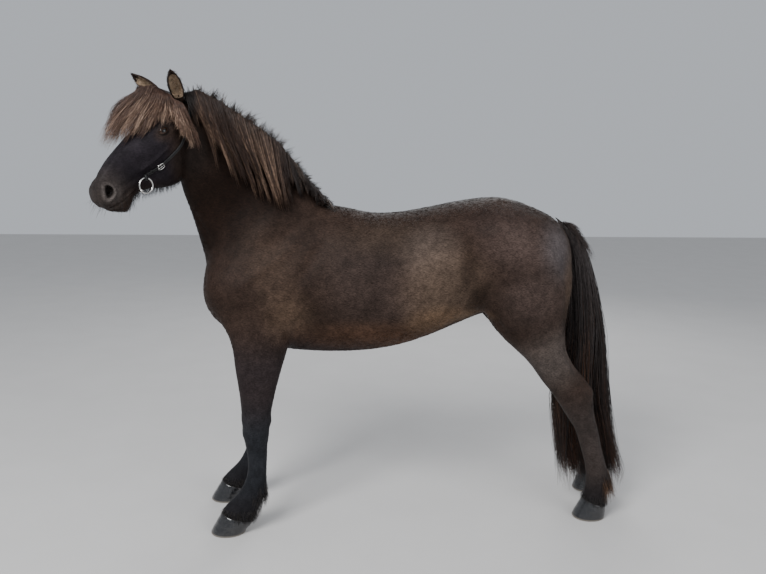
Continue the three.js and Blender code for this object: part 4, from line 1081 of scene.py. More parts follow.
# Materials. A small builder adds nodes, linking sockets and setting plain values
class Painter:
    def __init__(self, name, roughness, **constants):
        self.material = bpy.data.materials.new(name)
        self.material.use_nodes = True
        self.tree = self.material.node_tree
        self.shader = self.tree.nodes["Principled BSDF"]
        self.shader.inputs["Roughness"].default_value = roughness
        for label, value in constants.items():
            self.shader.inputs[label.replace("_", " ")].default_value = value

    def put(self, socket, value):
        if isinstance(value, bpy.types.NodeSocket):
            self.tree.links.new(value, socket)
        elif isinstance(value, (tuple, list, np.ndarray)) and len(value) == 3 and socket.type == "RGBA":
            socket.default_value = (*value, 1)
        else:
            socket.default_value = value

    def add(self, kind, *inputs, **settings):
        node = self.tree.nodes.new(kind)
        for label, value in settings.items():
            setattr(node, label, value)
        for place, value in enumerate(inputs):
            if value is not None:
                self.put(node.inputs[place], value)
        return node

    def maths(self, operation, a, b=0.0, clamp=False):
        return self.add("ShaderNodeMath", a, b, operation=operation, use_clamp=clamp).outputs[0]

    def vector(self, operation, a, b=(0, 0, 0)):
        node = self.add("ShaderNodeVectorMath", a, b, operation=operation)
        return node.outputs["Value" if operation in ("LENGTH", "DOT_PRODUCT") else "Vector"]

    def ramp(self, value, low, high, start=0.0, end=1.0):
        node = self.add("ShaderNodeMapRange", value, low, high, start, end)
        node.interpolation_type = "SMOOTHSTEP"
        return node.outputs[0]

    def mixed(self, factor, a, b, blend="MIX"):
        node = self.add("ShaderNodeMix", data_type="RGBA", blend_type=blend)
        for label, value in (("Factor_Float", factor), ("A_Color", a), ("B_Color", b)):
            self.put(next(s for s in node.inputs if s.identifier == label), value)
        return next(s for s in node.outputs if s.identifier == "Result_Color")

    def noise(self, where, scale, detail=3.0, rough=0.55):
        node = self.add("ShaderNodeTexNoise", where)
        node.inputs["Scale"].default_value = scale
        node.inputs["Detail"].default_value = detail
        node.inputs["Roughness"].default_value = rough
        return node.outputs[0]

    # A value kept on the mesh's points
    def kept(self, label):
        return self.add("ShaderNodeAttribute", attribute_name=label).outputs["Fac"]

    def here(self):
        return self.add("ShaderNodeTexCoord").outputs["Object"]

    def stretched(self, where, scales, detail):
        return self.noise(self.vector("MULTIPLY", where, scales), 1.0, detail)

    # A colour made darker or lighter by a factor for each channel
    def shaded(self, colour, red, green, blue):
        factors = self.add("ShaderNodeCombineXYZ", red, green, blue).outputs[0]
        return self.mixed(1.0, colour, factors, "MULTIPLY")

    def colour(self, value):
        self.put(self.shader.inputs["Base Color"], value)

    def rough(self, value):
        self.put(self.shader.inputs["Roughness"], value)

    def bump(self, height, distance, strength=0.5):
        node = self.add("ShaderNodeBump")
        node.inputs["Strength"].default_value = strength
        node.inputs["Distance"].default_value = distance
        self.put(node.inputs["Height"], height)
        self.put(self.shader.inputs["Normal"], node.outputs[0])

    # The place in the horse's own frame in metres, with both sides read alike
    def places(self):
        own = self.vector("SUBTRACT", self.here(), tuple(SHIFT / MM))
        parts = self.add("ShaderNodeSeparateXYZ", own).outputs
        sideways = self.maths("ABSOLUTE", parts[1])
        even = self.add("ShaderNodeCombineXYZ", parts[0], sideways, parts[2]).outputs[0]
        from_poll = self.vector("SUBTRACT", own, tuple(HEAD_POLL / MM))
        a, b, c = (self.vector("DOT_PRODUCT", from_poll, tuple(axis)) for axis in HEAD_TURN)
        head = self.add("ShaderNodeCombineXYZ", a, self.maths("ABSOLUTE", b), c).outputs[0]
        return own, even, head, parts


BROWN = (0.0270, 0.0184, 0.0150)
# Markings of the body, some of them painted sheen, painted highlight and painted shade: [place], [reach] in
# millimetres, colour, strength
BODY_MARKS_AND_PAINTED_LIGHT = [
    [[-620, 60, 1440], [270, 170, 310], (0.0052, 0.0024, 0.0014), 0.96],  # dark neck
    [[-770, 60, 1330], [130, 150, 220], (0.0105, 0.0060, 0.0042), 0.85],
    [[-650, 160, 1090], [150, 130, 180], (0.0220, 0.0145, 0.0118), 0.7],  # chest and shoulder
    [[-300, 240, 1080], [100, 120, 230], (0.0215, 0.0132, 0.0092), 0.6],  # painted shade: a darker brown band behind the shoulder
    [[-505, 220, 1225], [120, 120, 170], (0.0350, 0.0235, 0.0180), 0.7],  # painted highlight: a light streak down the shoulder's rear edge to the elbow
    [[-450, 220, 1070], [105, 110, 160], (0.0500, 0.0350, 0.0270), 0.7],
    [[-400, 205, 925], [100, 110, 120], (0.0800, 0.0560, 0.0410), 0.7],
    [[-40, 255, 1090], [330, 130, 220], (0.0345, 0.0262, 0.0238), 0.7],  # painted sheen: a grey sheen on the barrel
    [[0, 200, 1270], [230, 130, 90], (0.0400, 0.0300, 0.0235), 0.65],
    [[-60, 200, 820], [330, 190, 100], (0.0780, 0.0430, 0.0265), 0.8],  # belly
    [[165, 250, 1220], [120, 120, 160], (0.0700, 0.0575, 0.0510), 0.65],  # painted sheen: a grey to tan sheen on the flank
    [[225, 245, 1050], [190, 120, 200], (0.0980, 0.0730, 0.0560), 0.66],
    [[215, 215, 915], [150, 120, 80], (0.1250, 0.0830, 0.0530), 0.65],
    [[355, 190, 920], [90, 130, 40], (0.1250, 0.0880, 0.0600), 0.75],  # tan edge of the fold
    [[325, 245, 1150], [48, 90, 130], (0.0160, 0.0100, 0.0070), 0.6],  # dark line before the thigh
    [[376, 235, 1010], [44, 80, 100], (0.0150, 0.0095, 0.0066), 0.65],
    [[480, 200, 1340], [190, 150, 80], (0.0380, 0.0275, 0.0250), 0.7],  # painted sheen: a grey sheen on the rump
    [[545, 230, 1240], [180, 130, 120], (0.0620, 0.0465, 0.0430), 0.7],
    [[705, 190, 1205], [95, 110, 140], (0.0700, 0.0660, 0.0720), 0.78],  # buttock
    [[775, 130, 1080], [50, 150, 180], (0.0600, 0.0440, 0.0330), 0.7],
    [[610, 240, 1020], [160, 90, 160], (0.0430, 0.0325, 0.0300), 0.7],  # thigh
    [[690, 180, 740], [150, 80, 160], (0.0700, 0.0620, 0.0590), 0.8],  # gaskin
    [[0, 0, 1400], [900, 75, 85], (0.0120, 0.0086, 0.0074), 0.75],  # painted shade along the spine, darkening the top where the light from above falls
]
# Markings of the head, with painted shade in the nostrils, in its own frame
HEAD_MARKS_AND_PAINTED_SHADE = [
    [[470, 20, -60], [90, 90, 90], (0.030, 0.0265, 0.0260), 0.85],  # grey muzzle
    [[474, 58, -60], [46, 26, 46], (0.094, 0.087, 0.086), 0.92],  # rim of the nostril
    # painted shade in the nostril's hollow
    [[474, 34, -60], [24, 24, 24], (0.004, 0.003, 0.003), 1.0],
    [[455, 40, -122], [60, 40, 12], (0.046, 0.038, 0.034), 0.7],  # lips
    [[150, 84, -180], [90, 60, 90], (0.0105, 0.0085, 0.0080), 0.7],  # cheek
    [[172, 86, -42], [44, 40, 32], (0.042, 0.029, 0.022), 0.7],  # round the eye
    [[172, 86, -42], [26, 40, 17], (0.004, 0.003, 0.003), 0.9],
]
FACE = (0.0145, 0.0128, 0.0170)
WARMTH = (0.92, 0.86)  # how far green and blue fall behind red


# The coat's colour by place, the same for skin and tufts
def coat_colour(painter):
    own, even, head, parts = painter.places()
    height = parts[2]

    def mark(colour, where, at, reach, paint, strength):
        gap = painter.vector("SUBTRACT", where, tuple(np.array(at) / MM))
        scaled = painter.vector("DIVIDE", gap, tuple(np.array(reach) / MM))
        near = painter.ramp(painter.vector("LENGTH", scaled), 0.25, 1.35, strength, 0.0)
        return painter.mixed(near, colour, paint)

    colour = BROWN
    for at, reach, paint, strength in BODY_MARKS_AND_PAINTED_LIGHT:
        colour = mark(colour, even, at, reach, paint, strength)
    fore = painter.ramp(parts[0], -0.1, 0.1, 1.0, 0.0)
    hind = painter.maths("SUBTRACT", 1.0, fore)
    for low, high, which, paint in (
        (0.70, 0.92, fore, (0.0230, 0.0185, 0.0200)),
        (0.42, 0.62, fore, (0.0165, 0.0190, 0.0240)),
        (0.42, 0.66, hind, (0.0345, 0.0290, 0.0280)),
    ):
        leg = painter.maths("MULTIPLY", painter.ramp(height, low, high, 1.0, 0.0), which)
        colour = painter.mixed(leg, colour, paint)
    colour = painter.mixed(painter.ramp(height, 0.10, 0.25, 0.85, 0.0), colour, (0.0085, 0.0082, 0.0100))
    along = painter.add("ShaderNodeSeparateXYZ", head).outputs[0]
    high = painter.ramp(height, 1.40, 1.50)
    ahead = painter.ramp(parts[0], -0.86, -0.80, 1.0, 0.0)
    on_face = painter.maths("MULTIPLY", high, ahead)
    on_face = painter.maths("MULTIPLY", on_face, painter.ramp(along, 0.0, 0.09))
    colour = painter.mixed(on_face, colour, FACE)
    for at, reach, paint, strength in HEAD_MARKS_AND_PAINTED_SHADE:
        colour = mark(colour, head, at, reach, paint, strength)
    mottle = painter.ramp(painter.noise(own, 7.0, 4.0), 0.3, 0.7, 0.80, 1.22)
    patch = painter.ramp(painter.noise(own, 34.0, 3.0), 0.3, 0.7, 0.84, 1.18)
    grain = painter.ramp(painter.stretched(own, (110, 240, 300), 3.0), 0.28, 0.72, 0.68, 1.36)
    shade = painter.maths("MULTIPLY", painter.maths("MULTIPLY", mottle, patch), grain)
    green, blue = (painter.maths("MULTIPLY", shade, share) for share in WARMTH)
    return painter.shaded(colour, shade, green, blue), own, height


SHEEN = {"Sheen_Weight": 0.008, "Sheen_Roughness": 0.4, "Specular_IOR_Level": 0.065}


def coat_material(name, tufts):
    painter = Painter(name, 0.5, **SHEEN)
    colour, own, height = coat_colour(painter)
    if tufts:
        by_tone = painter.ramp(painter.kept("tone"), 0.0, 1.0, 0.74, 1.42)
        by_place = painter.ramp(painter.kept("along"), 0.0, 1.0, 0.9, 1.12)
        shade = painter.maths("MULTIPLY", by_tone, by_place)
        colour = painter.shaded(colour, shade, shade, shade)
    else:
        # Fine bump of short hair, drawn out along the body, and down the legs
        low = painter.ramp(height, 0.80, 0.98, 1.0, 0.0)
        lengthwise = painter.stretched(own, (130, 620, 420), 3.0)
        downwards = painter.stretched(own, (620, 620, 110), 3.0)
        painter.bump(painter.mixed(low, lengthwise, downwards), 0.0016, 0.75)
    painter.colour(colour)
    return painter.material


# Long hair: dark at the root, through a mid tone to pale tips, varied from strand to strand
def hair_material(name, root, middle, tip, pale, roughness, dark_ends):
    painter = Painter(name, roughness, Specular_IOR_Level=0.3)
    along, tone = painter.kept("along"), painter.kept("tone")
    colour = painter.mixed(painter.ramp(along, 0.05, 0.5), root, middle)
    reach = painter.maths("MULTIPLY", painter.ramp(along, 0.30, 0.95), painter.ramp(tone, 0.22, 0.85))
    colour = painter.mixed(reach, colour, tip)
    streak = painter.maths("MULTIPLY", painter.ramp(tone, 0.55, 0.95), painter.ramp(along, 0.15, 0.8))
    colour = painter.mixed(streak, colour, pale)
    own, _, _, parts = painter.places()
    if dark_ends:
        front = painter.ramp(parts[0], -0.765, -0.725, 0.9, 0.0)
        rear = painter.ramp(parts[0], -0.44, -0.36, 0.0, 0.8)
        colour = painter.mixed(painter.maths("MAXIMUM", front, rear), colour, root)
    shade = painter.ramp(painter.noise(own, 90.0, 2.0), 0.3, 0.7, 0.72, 1.3)
    painter.colour(painter.shaded(colour, shade, shade, shade))
    return painter.material


# Colours of each kind of hair: root, middle, tip, the palest strands
HAIR_COLOURS = {
    "mane": [(0.007, 0.0048, 0.0044), (0.0290, 0.0160, 0.0115), (0.135, 0.078, 0.051), (0.27, 0.178, 0.124)],
    "crest": [(0.008, 0.0055, 0.005), (0.014, 0.0098, 0.008), (0.046, 0.030, 0.022), (0.14, 0.098, 0.072)],
    "forelock": [(0.030, 0.015, 0.011), (0.076, 0.042, 0.030), (0.27, 0.168, 0.116), (0.42, 0.295, 0.215)],
    "tail": [(0.052, 0.043, 0.042), (0.0125, 0.0095, 0.0088), (0.036, 0.016, 0.0095), (0.095, 0.045, 0.026)],
    "dock": [(0.030, 0.022, 0.020), (0.030, 0.022, 0.020), (0.050, 0.036, 0.032), (0.10, 0.070, 0.058)],
    "feather": [(0.012, 0.008, 0.007), (0.040, 0.021, 0.012), (0.17, 0.080, 0.036), (0.28, 0.15, 0.075)],
    "dark": [(0.010, 0.009, 0.010), (0.014, 0.012, 0.012), (0.026, 0.020, 0.017), (0.05, 0.036, 0.027)],
    "ear": [(0.26, 0.18, 0.115), (0.38, 0.27, 0.18), (0.5, 0.38, 0.26), (0.58, 0.46, 0.34)],
}
HAIR_ROUGH = {"tail": 0.52, "dock": 0.75}
PLAIN_ROUGH = 0.42
SKIN_COAT = coat_material("coat", False)
TUFT_COAT = coat_material("coat_tufts", True)
HAIR = {}
for kind, colours in HAIR_COLOURS.items():
    HAIR[kind] = hair_material(kind + "_hair", *colours, HAIR_ROUGH.get(kind, PLAIN_ROUGH), kind == "mane")


def ear_inside_material():
    painter = Painter("ear_inside", 0.6)
    own = painter.here()
    patches = painter.ramp(painter.noise(own, 160.0), 0.35, 0.7)
    painter.colour(painter.mixed(patches, (0.24, 0.165, 0.105), (0.42, 0.31, 0.21)))
    painter.bump(painter.noise(own, 500.0), 0.0008)
    return painter.material


def horn_material():
    painter = Painter("horn", 0.2, Specular_IOR_Level=0.85)
    own, _, _, parts = painter.places()
    rings = painter.stretched(own, (6, 6, 260), 3.0)
    grain = painter.stretched(own, (220, 220, 12), 2.0)
    colour = painter.mixed(painter.ramp(grain, 0.35, 0.7), (0.0075, 0.0075, 0.0085), (0.020, 0.020, 0.0215))
    colour = painter.mixed(painter.ramp(parts[2], 0.003, 0.010, 0.85, 0.0), colour, (0.20, 0.175, 0.145))
    level = painter.kept("level")
    # The top of the wall is painted dark: painted shade under the coronet hair
    colour = painter.mixed(painter.ramp(level, 0.02, 0.12, 0.9, 0.0), colour, (0.005, 0.0045, 0.005))
    painter.colour(colour)
    top_edge = painter.ramp(level, 0.02, 0.12, 0.85, 0.1)
    painter.rough(painter.maths("MAXIMUM", painter.ramp(grain, 0.3, 0.8, 0.07, 0.20), top_edge))
    painter.bump(painter.maths("ADD", rings, painter.maths("MULTIPLY", grain, 0.4)), 0.0012, 0.5)
    return painter.material


def eye_material():
    painter = Painter("eye", 0.12, Coat_Weight=0.3, Coat_Roughness=0.05, Specular_IOR_Level=0.25)
    ring = painter.kept("ring")
    flecks = painter.ramp(painter.noise(painter.here(), 900.0), 0.3, 0.7)
    iris = painter.mixed(flecks, (0.016, 0.008, 0.0045), (0.050, 0.023, 0.011))
    colour = painter.mixed(painter.ramp(ring, 0.36, 0.42), (0.001, 0.001, 0.0015), iris)
    colour = painter.mixed(painter.ramp(ring, 0.70, 0.82), colour, (0.005, 0.0035, 0.003))
    painter.colour(colour)
    return painter.material


def leather_material(name, base, worn_and_sheen):
    painter = Painter(name, 0.45, Specular_IOR_Level=0.32)
    own = painter.here()
    grain = painter.noise(own, 900.0, 3.0)
    # Lighter patches, partly from use and partly a painted sheen of the leather
    wear_and_sheen = painter.ramp(painter.noise(own, 45.0, 3.0), 0.45, 0.75)
    painter.colour(painter.mixed(wear_and_sheen, base, worn_and_sheen))
    painter.rough(painter.ramp(grain, 0.3, 0.7, 0.34, 0.55))
    painter.bump(grain, 0.0004, 0.5)
    return painter.material


def steel_material():
    painter = Painter("steel", 0.22, Metallic=1.0)
    own = painter.here()
    smear = painter.noise(own, 140.0, 4.0)
    painter.colour(painter.mixed(painter.ramp(smear, 0.4, 0.75), (0.66, 0.65, 0.63), (0.42, 0.41, 0.39)))
    painter.rough(painter.ramp(smear, 0.3, 0.8, 0.16, 0.36))
    painter.bump(painter.noise(own, 1200.0), 0.0001, 0.3)
    return painter.material


EAR_INSIDE = ear_inside_material()
HORN = horn_material()
EYE = eye_material()
LEATHER = leather_material("leather", (0.0075, 0.0075, 0.008), (0.030, 0.028, 0.027))
THREAD = leather_material("thread", (0.03, 0.03, 0.03), (0.05, 0.05, 0.05))
STEEL = steel_material()

# The skin, in place of every node of flesh
UPPER = {"fore_left": "forearm_", "fore_right": "forearm_", "hind_left": "thigh_", "hind_right": "thigh_"}
flesh = ["neck", "torso", "head", "ear_left", "ear_right"]
for leg in LEGS:
    flesh += [UPPER[leg] + leg, "cannon_" + leg]
piece_of("skin", skin_mesh, SKIN_COAT, flesh)
skin_mesh.materials.append(EAR_INSIDE)
middles = rows_of(skin_mesh.polygons, "center", 3).astype(float) * MM - SHIFT
face_normals = rows_of(skin_mesh.polygons, "normal", 3).astype(float)


# Which points lie in the cup of an ear, off its rim
def in_cup(points, normals):
    inside = np.zeros(len(points), bool)
    for name in EARS:
        turn, root, size = ear_frame(name)
        across, sideways, up = ((to_head(points) - root) @ turn.T / size).T
        facing = (normals @ HEAD_TURN.T) @ turn.T
        wide = np.interp(up, [row[0] for row in EAR_OUTER], [row[3] for row in EAR_OUTER])
        within = (up > 6) & (up < 98) & (np.abs(sideways) < wide * 0.74) & (np.abs(across) < 40)
        inside |= within & (facing[:, 0] > 0.1)
    return inside


skin_mesh.polygons.foreach_set("material_index", in_cup(middles, face_normals).astype(np.int32))

# The mane's pieces: strands, material, nodes they stand for, least and greatest width of a strand
LOCKS = {
    "mane_left": (mane_strands(LEFT, 400, 1.0, 3900, 84), HAIR["mane"], ["mane"], (2.0, 3.5)),
    "mane_right": (mane_strands(RIGHT, 190, 0.85, 1200, 40), HAIR["mane"], [], (2.4, 4.0)),
    "mane_crest": (crest_strands(2900, 170), HAIR["crest"], [], (1.5, 2.6)),
}
for name, (made, material, stands_for, widths) in LOCKS.items():
    half = tapered(RANDOM.uniform(*widths, len(made[0])), LOCK_RINGS)
    strands(name, made[0], half, *made[1:], material, "mane_hair", stands_for)

# Where the forelock ends: [distance from the poll, degrees round the head from its left side, lift off it]
FORELOCK = [
    [180, 184, 160],
    [218, 172, 162],
    [262, 157, 142],
    [310, 138, 108],
    [345, 118, 70],
    [345, 98, 40],
    [318, 80, 26],
    [280, 62, 19],
    [222, 46, 15],
    [122, 28, 14],
    [165, 8, 42],
    [158, -12, 66],
    [140, -30, 88],
]
FORELOCK_ROOT = 84  # where round the head it springs from
FORELOCK_MIDDLE = -90  # how deep in the head the line lies that it is lifted from
forelock_grid = []
for reach, degrees, lift in FORELOCK:
    path = []
    start = mix(FORELOCK_ROOT - 24, FORELOCK_ROOT + 18, (degrees + 30) / 214)
    for share in np.linspace(0, 1, 8):
        a = mix(mix(36, -4, soft_step(degrees, 10, 90)), reach, share**0.9)
        turn = math.radians(mix(start, degrees, min(1, share * 1.15) ** 0.8))
        out = unit(np.array([0, math.cos(turn), math.sin(turn)]) @ HEAD_TURN)
        bulge = 12 + max(0, degrees - 60) * 0.12
        crown = 26 * (1 - 0.9 * soft_step(degrees, 105, 150)) * math.exp(-(((share - 0.14) / 0.15) ** 2))
        height = -8
        if share > 0:
            height = crown + mix(mix(16, 46, soft_step(degrees, 20, 100)), lift * 0.85, share**0.95)
            height += bulge * math.sin(share * math.pi)
        path.append(on_skin(from_head([a, 0, FORELOCK_MIDDLE]), out, height)[0])
    forelock_grid.append(between(path, np.linspace(0, 6.999, GUIDE_POINTS)))
forelock_grid = np.array(forelock_grid)


def forelock_strands(count, clumps, rings=LOCK_RINGS):
    which, centre, start = clumped(count, clumps, 0, len(FORELOCK) - 1, 0.28)
    length = RANDOM.uniform(0.70, 1.05, clumps)[which] * RANDOM.uniform(0.5, 1.0, count) ** 0.4
    share = np.linspace(0, 1, rings)[None] * length[:, None]
    guide = np.clip(mix(start[:, None], centre[:, None], share * 0.92), 0, len(FORELOCK) - 1)
    paths = on_guides(forelock_grid, guide, np.clip(share, 0, 1))
    middle = to_head(paths.reshape(-1, 3)) * [1, 0, 0] + [0, 0, FORELOCK_MIDDLE]
    outward = unit(paths - from_head(middle).reshape(paths.shape))
    depth = np.interp(start, range(len(FORELOCK)), [row[2] for row in FORELOCK])
    layer = RANDOM.uniform(-16, 4, count) + RANDOM.uniform(-5, 5, clumps)[which]
    layer -= np.clip(depth - 50, 0, None) * 0.75 * RANDOM.uniform(0, 1, clumps)[which] ** 1.3
    paths = paths + outward * (layer[:, None] * soft_step(share, 0.05, 0.5))[..., None]
    paths[:, 0] += RANDOM.normal(0, 7, (count, 3))
    paths = paths + wavy(count, rings, 5.0)
    tone = np.clip(RANDOM.uniform(0, 1, clumps)[which] * 0.55 + RANDOM.uniform(0, 0.45, count), 0, 1)
    return paths, outward, paths[:, 0], np.tile([0.0, 0, 1], (count, 1)), tone


FORELOCK_COUNT = 3100
made = forelock_strands(FORELOCK_COUNT, 84)
half = tapered(RANDOM.uniform(1.5, 2.8, FORELOCK_COUNT), LOCK_RINGS)
strands("forelock_locks", made[0], half, *made[1:], HAIR["forelock"], "mane_hair", ["forelock"])

# Tail: [front x, rear x, z, half width] of the whole bundle, from the dock down
TAIL = [
    [738, 800, 1316, 34],
    [785, 872, 1250, 44],
    [812, 922, 1130, 58],
    [824, 972, 930, 70],
    [826, 997, 776, 76],
    [790, 1029, 545, 78],
    [798, 1069, 380, 80],
    [812, 1114, 220, 80],
    [840, 1134, 140, 70],
    [868, 1132, 52, 52],
]
TAIL_TILT = 26


# A point of the bundle: share of the way down, and places across it from front to rear and side to side
def tail_point(share, u, v):
    front, rear, z, half = np.moveaxis(between(TAIL, np.ravel(share) * (len(TAIL) - 1)), 1, 0)
    shape = np.shape(share)
    front, rear, z, half = (a.reshape(shape) for a in (front, rear, z, half))
    return np.stack([mix(front, rear, (u + 1) / 2), v * half, z - u * TAIL_TILT * (1 - share)], -1)


def tail_strands(count, clumps, rings=TAIL_RINGS):
    which = RANDOM.integers(0, clumps, count)
    clump_angle = RANDOM.uniform(0, 2 * math.pi, clumps)[which]
    clump_radius = np.sqrt(RANDOM.uniform(0.1, 0.95, clumps))[which]
    angle = clump_angle + RANDOM.normal(0, 0.35, count)
    radius = np.clip(clump_radius + RANDOM.normal(0, 0.12, count), 0.1, 0.98)
    first = RANDOM.uniform(0, 1, count) ** 1.4 * 0.3
    last = RANDOM.uniform(0.84, 1.0, clumps)[which] * RANDOM.uniform(0.74, 1.0, count) ** 0.5
    step = np.linspace(0, 1, rings)[None]
    share = mix(first[:, None], last[:, None], step)
    turn = mix(angle[:, None], clump_angle[:, None], step * 0.8)
    rooted = np.minimum(1, 0.45 + step * 6)
    r = mix(radius[:, None], clump_radius[:, None], step * 0.7) * rooted
    paths = tail_point(share, r * np.cos(turn), r * np.sin(turn))
    outward = np.stack([np.cos(turn), np.sin(turn), np.full_like(turn, 0.05)], -1)
    sway = wavy(clumps, rings, 21.0)[which]
    paths = paths + wavy(count, rings, 6.0) + sway * [1, 1, 0]
    tone = np.clip(RANDOM.uniform(0, 1, clumps)[which] * 0.5 + RANDOM.uniform(0, 0.5, count), 0, 1)
    roots = np.stack([np.full(count, 780.0), paths[:, 0, 1] * 0.5, mix(1310, 1230, first * 3)], 1)
    return paths, outward, roots, np.tile([1.0, 0, 0], (count, 1)), tone


# A tapered core carries the tail's hair under the dock
CORE_SIDES = 20
core_share = np.linspace(0.0, 0.5, 12)
core_size = 0.62 * (1 - (core_share / 0.52) ** 2)
core_angle = np.linspace(0, 2 * math.pi, CORE_SIDES, endpoint=False)
core_u = core_size[:, None] * np.cos(core_angle)
core_v = core_size[:, None] * np.sin(core_angle)
core_rings = tail_point(np.repeat(core_share[:, None], CORE_SIDES, 1), core_u, core_v)
core_verts, core_quads, core_tris = skin_of(core_rings)
core_normals = unit(core_verts - [860, 0, 0]) * [1, 1, 0]
core_form = (core_verts, core_quads, core_tris, core_normals, np.full(len(core_verts), 0.5))
TAIL_COUNT = 2250  # strands in each of two layers
for name, inner, stands_for in (("tail_under", core_form, ["tail"]), ("tail_over", None, [])):
    made = tail_strands(TAIL_COUNT, 70)
    half = tapered(RANDOM.uniform(2.4, 4.2, TAIL_COUNT), TAIL_RINGS)
    strands(name, made[0], half, *made[1:], HAIR["tail"], "tail_hair", stands_for, inner)

# Shorter hair springs from the top and sides of the dock and stands off behind it
DOCK_COUNT = 760
DOCK_RINGS = 7
share = RANDOM.uniform(0, 1, DOCK_COUNT) ** 1.3
turn = RANDOM.normal(0, 0.62, DOCK_COUNT)
start = tail_point(share * 0.10, 0.45 * np.cos(turn), 0.7 * np.sin(turn))
away = np.stack([0.85 * np.cos(turn), 0.75 * np.sin(turn), mix(0.30, -0.25, share)], 1)
drop = np.stack([mix(-0.05, 0.0, share), 0 * turn, mix(-0.55, -0.75, share)], 1)
long = (RANDOM.uniform(62, 118, DOCK_COUNT) * mix(0.85, 1.1, share))[:, None, None]
step = np.linspace(0, 1, DOCK_RINGS)[None, :, None]
dock_paths = start[:, None] + long * (away[:, None] * step + drop[:, None] * step**2)
dock_paths = dock_paths + wavy(DOCK_COUNT, DOCK_RINGS, 5.0)
dock_out = np.repeat(unit(away)[:, None], DOCK_RINGS, 1) + [0, 0, 0.4]
dock_tone = RANDOM.uniform(0.1, 0.75, DOCK_COUNT)
dock_half = tapered(RANDOM.uniform(1.6, 3.0, DOCK_COUNT), DOCK_RINGS)
dock_made = (dock_paths, dock_half, dock_out, start, unit(away), dock_tone)
strands("tail_dock", *dock_made, HAIR["dock"], "tail_hair")


# The lie of the coat: from the head back over the neck and body, and down the legs
def lie_of(points):
    x, _, z = points.T
    lie = np.tile([1.0, 0, -0.42], (len(points), 1))
    chest = soft_step(-x, 560, 700) * soft_step(-z, -1250, -1120)
    neck = soft_step(z, 1330, 1430) * soft_step(-x, 250, 420)
    leg = soft_step(-z, -1000, -820) * ((x < -380) | (x > 430))
    head = soft_step(to_head(points)[:, 0], 20, 90) * (x < FACE_AHEAD) * (z > FACE_ABOVE)
    lie = mix(lie, np.array([0.35, 0, -1.0]), chest[:, None])
    lie = mix(lie, np.array([0.62, 0.12, -0.7]), neck[:, None])
    lie = mix(lie, np.array([0.16, 0, -1.0]), leg[:, None])
    return mix(lie, ALONG + np.array([0, 0, -0.15]), head[:, None])


# A random point on each of the triangles, with its normal
def rooted_at(triangles):
    count = len(triangles)
    a, b = RANDOM.uniform(0, 1, (2, count))
    over = a + b > 1
    a[over], b[over] = 1 - a[over], 1 - b[over]
    p, q, r = (SKIN[corners[triangles, k]] for k in range(3))
    return p + a[:, None] * (q - p) + b[:, None] * (r - p), TRI_NORMAL[triangles]


# Tufts that lie along the skin, with roots sunk in it and tips a little off it
TUFT_WIDTHS = [0.55, 1.0, 0.0]
TUFT_RINGS = len(TUFT_WIDTHS)
TUFT_SCATTER = 0.22
ROOT_DEPTH = 1.2


def short_hair(points, normals, lengths, lift):
    lie = lie_of(points) + RANDOM.normal(0, TUFT_SCATTER, points.shape)
    flat = unit(lie - normals * (lie * normals).sum(1, keepdims=True))
    share = np.linspace(0, 1, TUFT_RINGS)[None, :, None]
    length = lengths[:, None, None]
    rise = (lift[:, None, None] * (1.6 * share - 0.6 * share**2)) * length
    off_skin = normals[:, None] * (rise - ROOT_DEPTH * (1 - share))
    paths = points[:, None] + flat[:, None] * length * share + off_skin
    return paths, np.repeat(normals[:, None], TUFT_RINGS, 1)


# Where the skin's triangles lie; the bald ones are round eyes and nostrils, in the ears and at the hooves
tri_x, _, tri_z = TRI_MIDDLE.T
tri_head = to_head(TRI_MIDDLE)
read_left = as_left(TRI_MIDDLE)
is_head = (tri_head[:, 0] > 10) & (tri_x < -810) & (tri_z > 1380)
is_ear = is_head & (tri_head[:, 2] > 16) & (tri_head[:, 0] < 75)
is_leg = ((tri_z < 760) & (tri_x < 0)) | ((tri_z < 860) & (tri_x > 380))
in_ear = in_cup(TRI_MIDDLE, TRI_NORMAL)
eye_gap = np.linalg.norm(mirrored_head(tri_head) - EYE_AT - EYE_OUT * EYE_RADIUS, axis=1)
nose_gap = np.linalg.norm(mirrored_head(tri_head) - NOSTRIL_AT, axis=1)
bald = (eye_gap < 26) | (nose_gap < 22) | (is_head & (tri_head[:, 0] > 482)) | (is_ear & in_ear)
bald |= (tri_z < 92) & (TRI_NORMAL[:, 2] < -0.4)


def chosen_roots(weight, count):
    return rooted_at(RANDOM.choice(len(weight), count, p=weight / weight.sum()))


def tuft_piece(name, mask, count, length, width, lift, extra=1):
    points, normals = chosen_roots(TRI_AREA * mask * ~bald * extra, count)
    lengths = RANDOM.uniform(*length, count)
    paths, outward = short_hair(points, normals, lengths, RANDOM.uniform(*lift, count))
    widths = RANDOM.uniform(*width, count)[:, None] * np.array(TUFT_WIDTHS) / 2
    tones = RANDOM.uniform(0, 1, count)
    return strands(name, paths, widths, outward, points, normals, tones, TUFT_COAT, "coat", shading=normals)


# Tufts lie thicker under the belly, behind the elbow and at the flank's fold
fringe = 1 + 1.6 * (TRI_NORMAL[:, 2] < -0.5) + 1.2 * near_point(read_left, [-415, 190, 890], [90, 90, 110])
fringe += 1.2 * near_point(read_left, [390, 210, 960], [90, 90, 110])
is_body = ~is_head & ~is_leg
for name, half_body in (("coat_front", tri_x < -150), ("coat_back", tri_x >= -150)):
    tuft_piece(name, is_body & half_body, 15000, (12, 22), (1.5, 2.7), (0.04, 0.11), fringe)
tuft_piece("coat_legs", is_leg, 11000, (8, 14), (1.2, 2.2), (0.05, 0.13), 1 + 1.5 * (TRI_NORMAL[:, 0] > 0.5))
tuft_piece("coat_head", is_head, 9500, (4.5, 9), (0.8, 1.4), (0.05, 0.12))


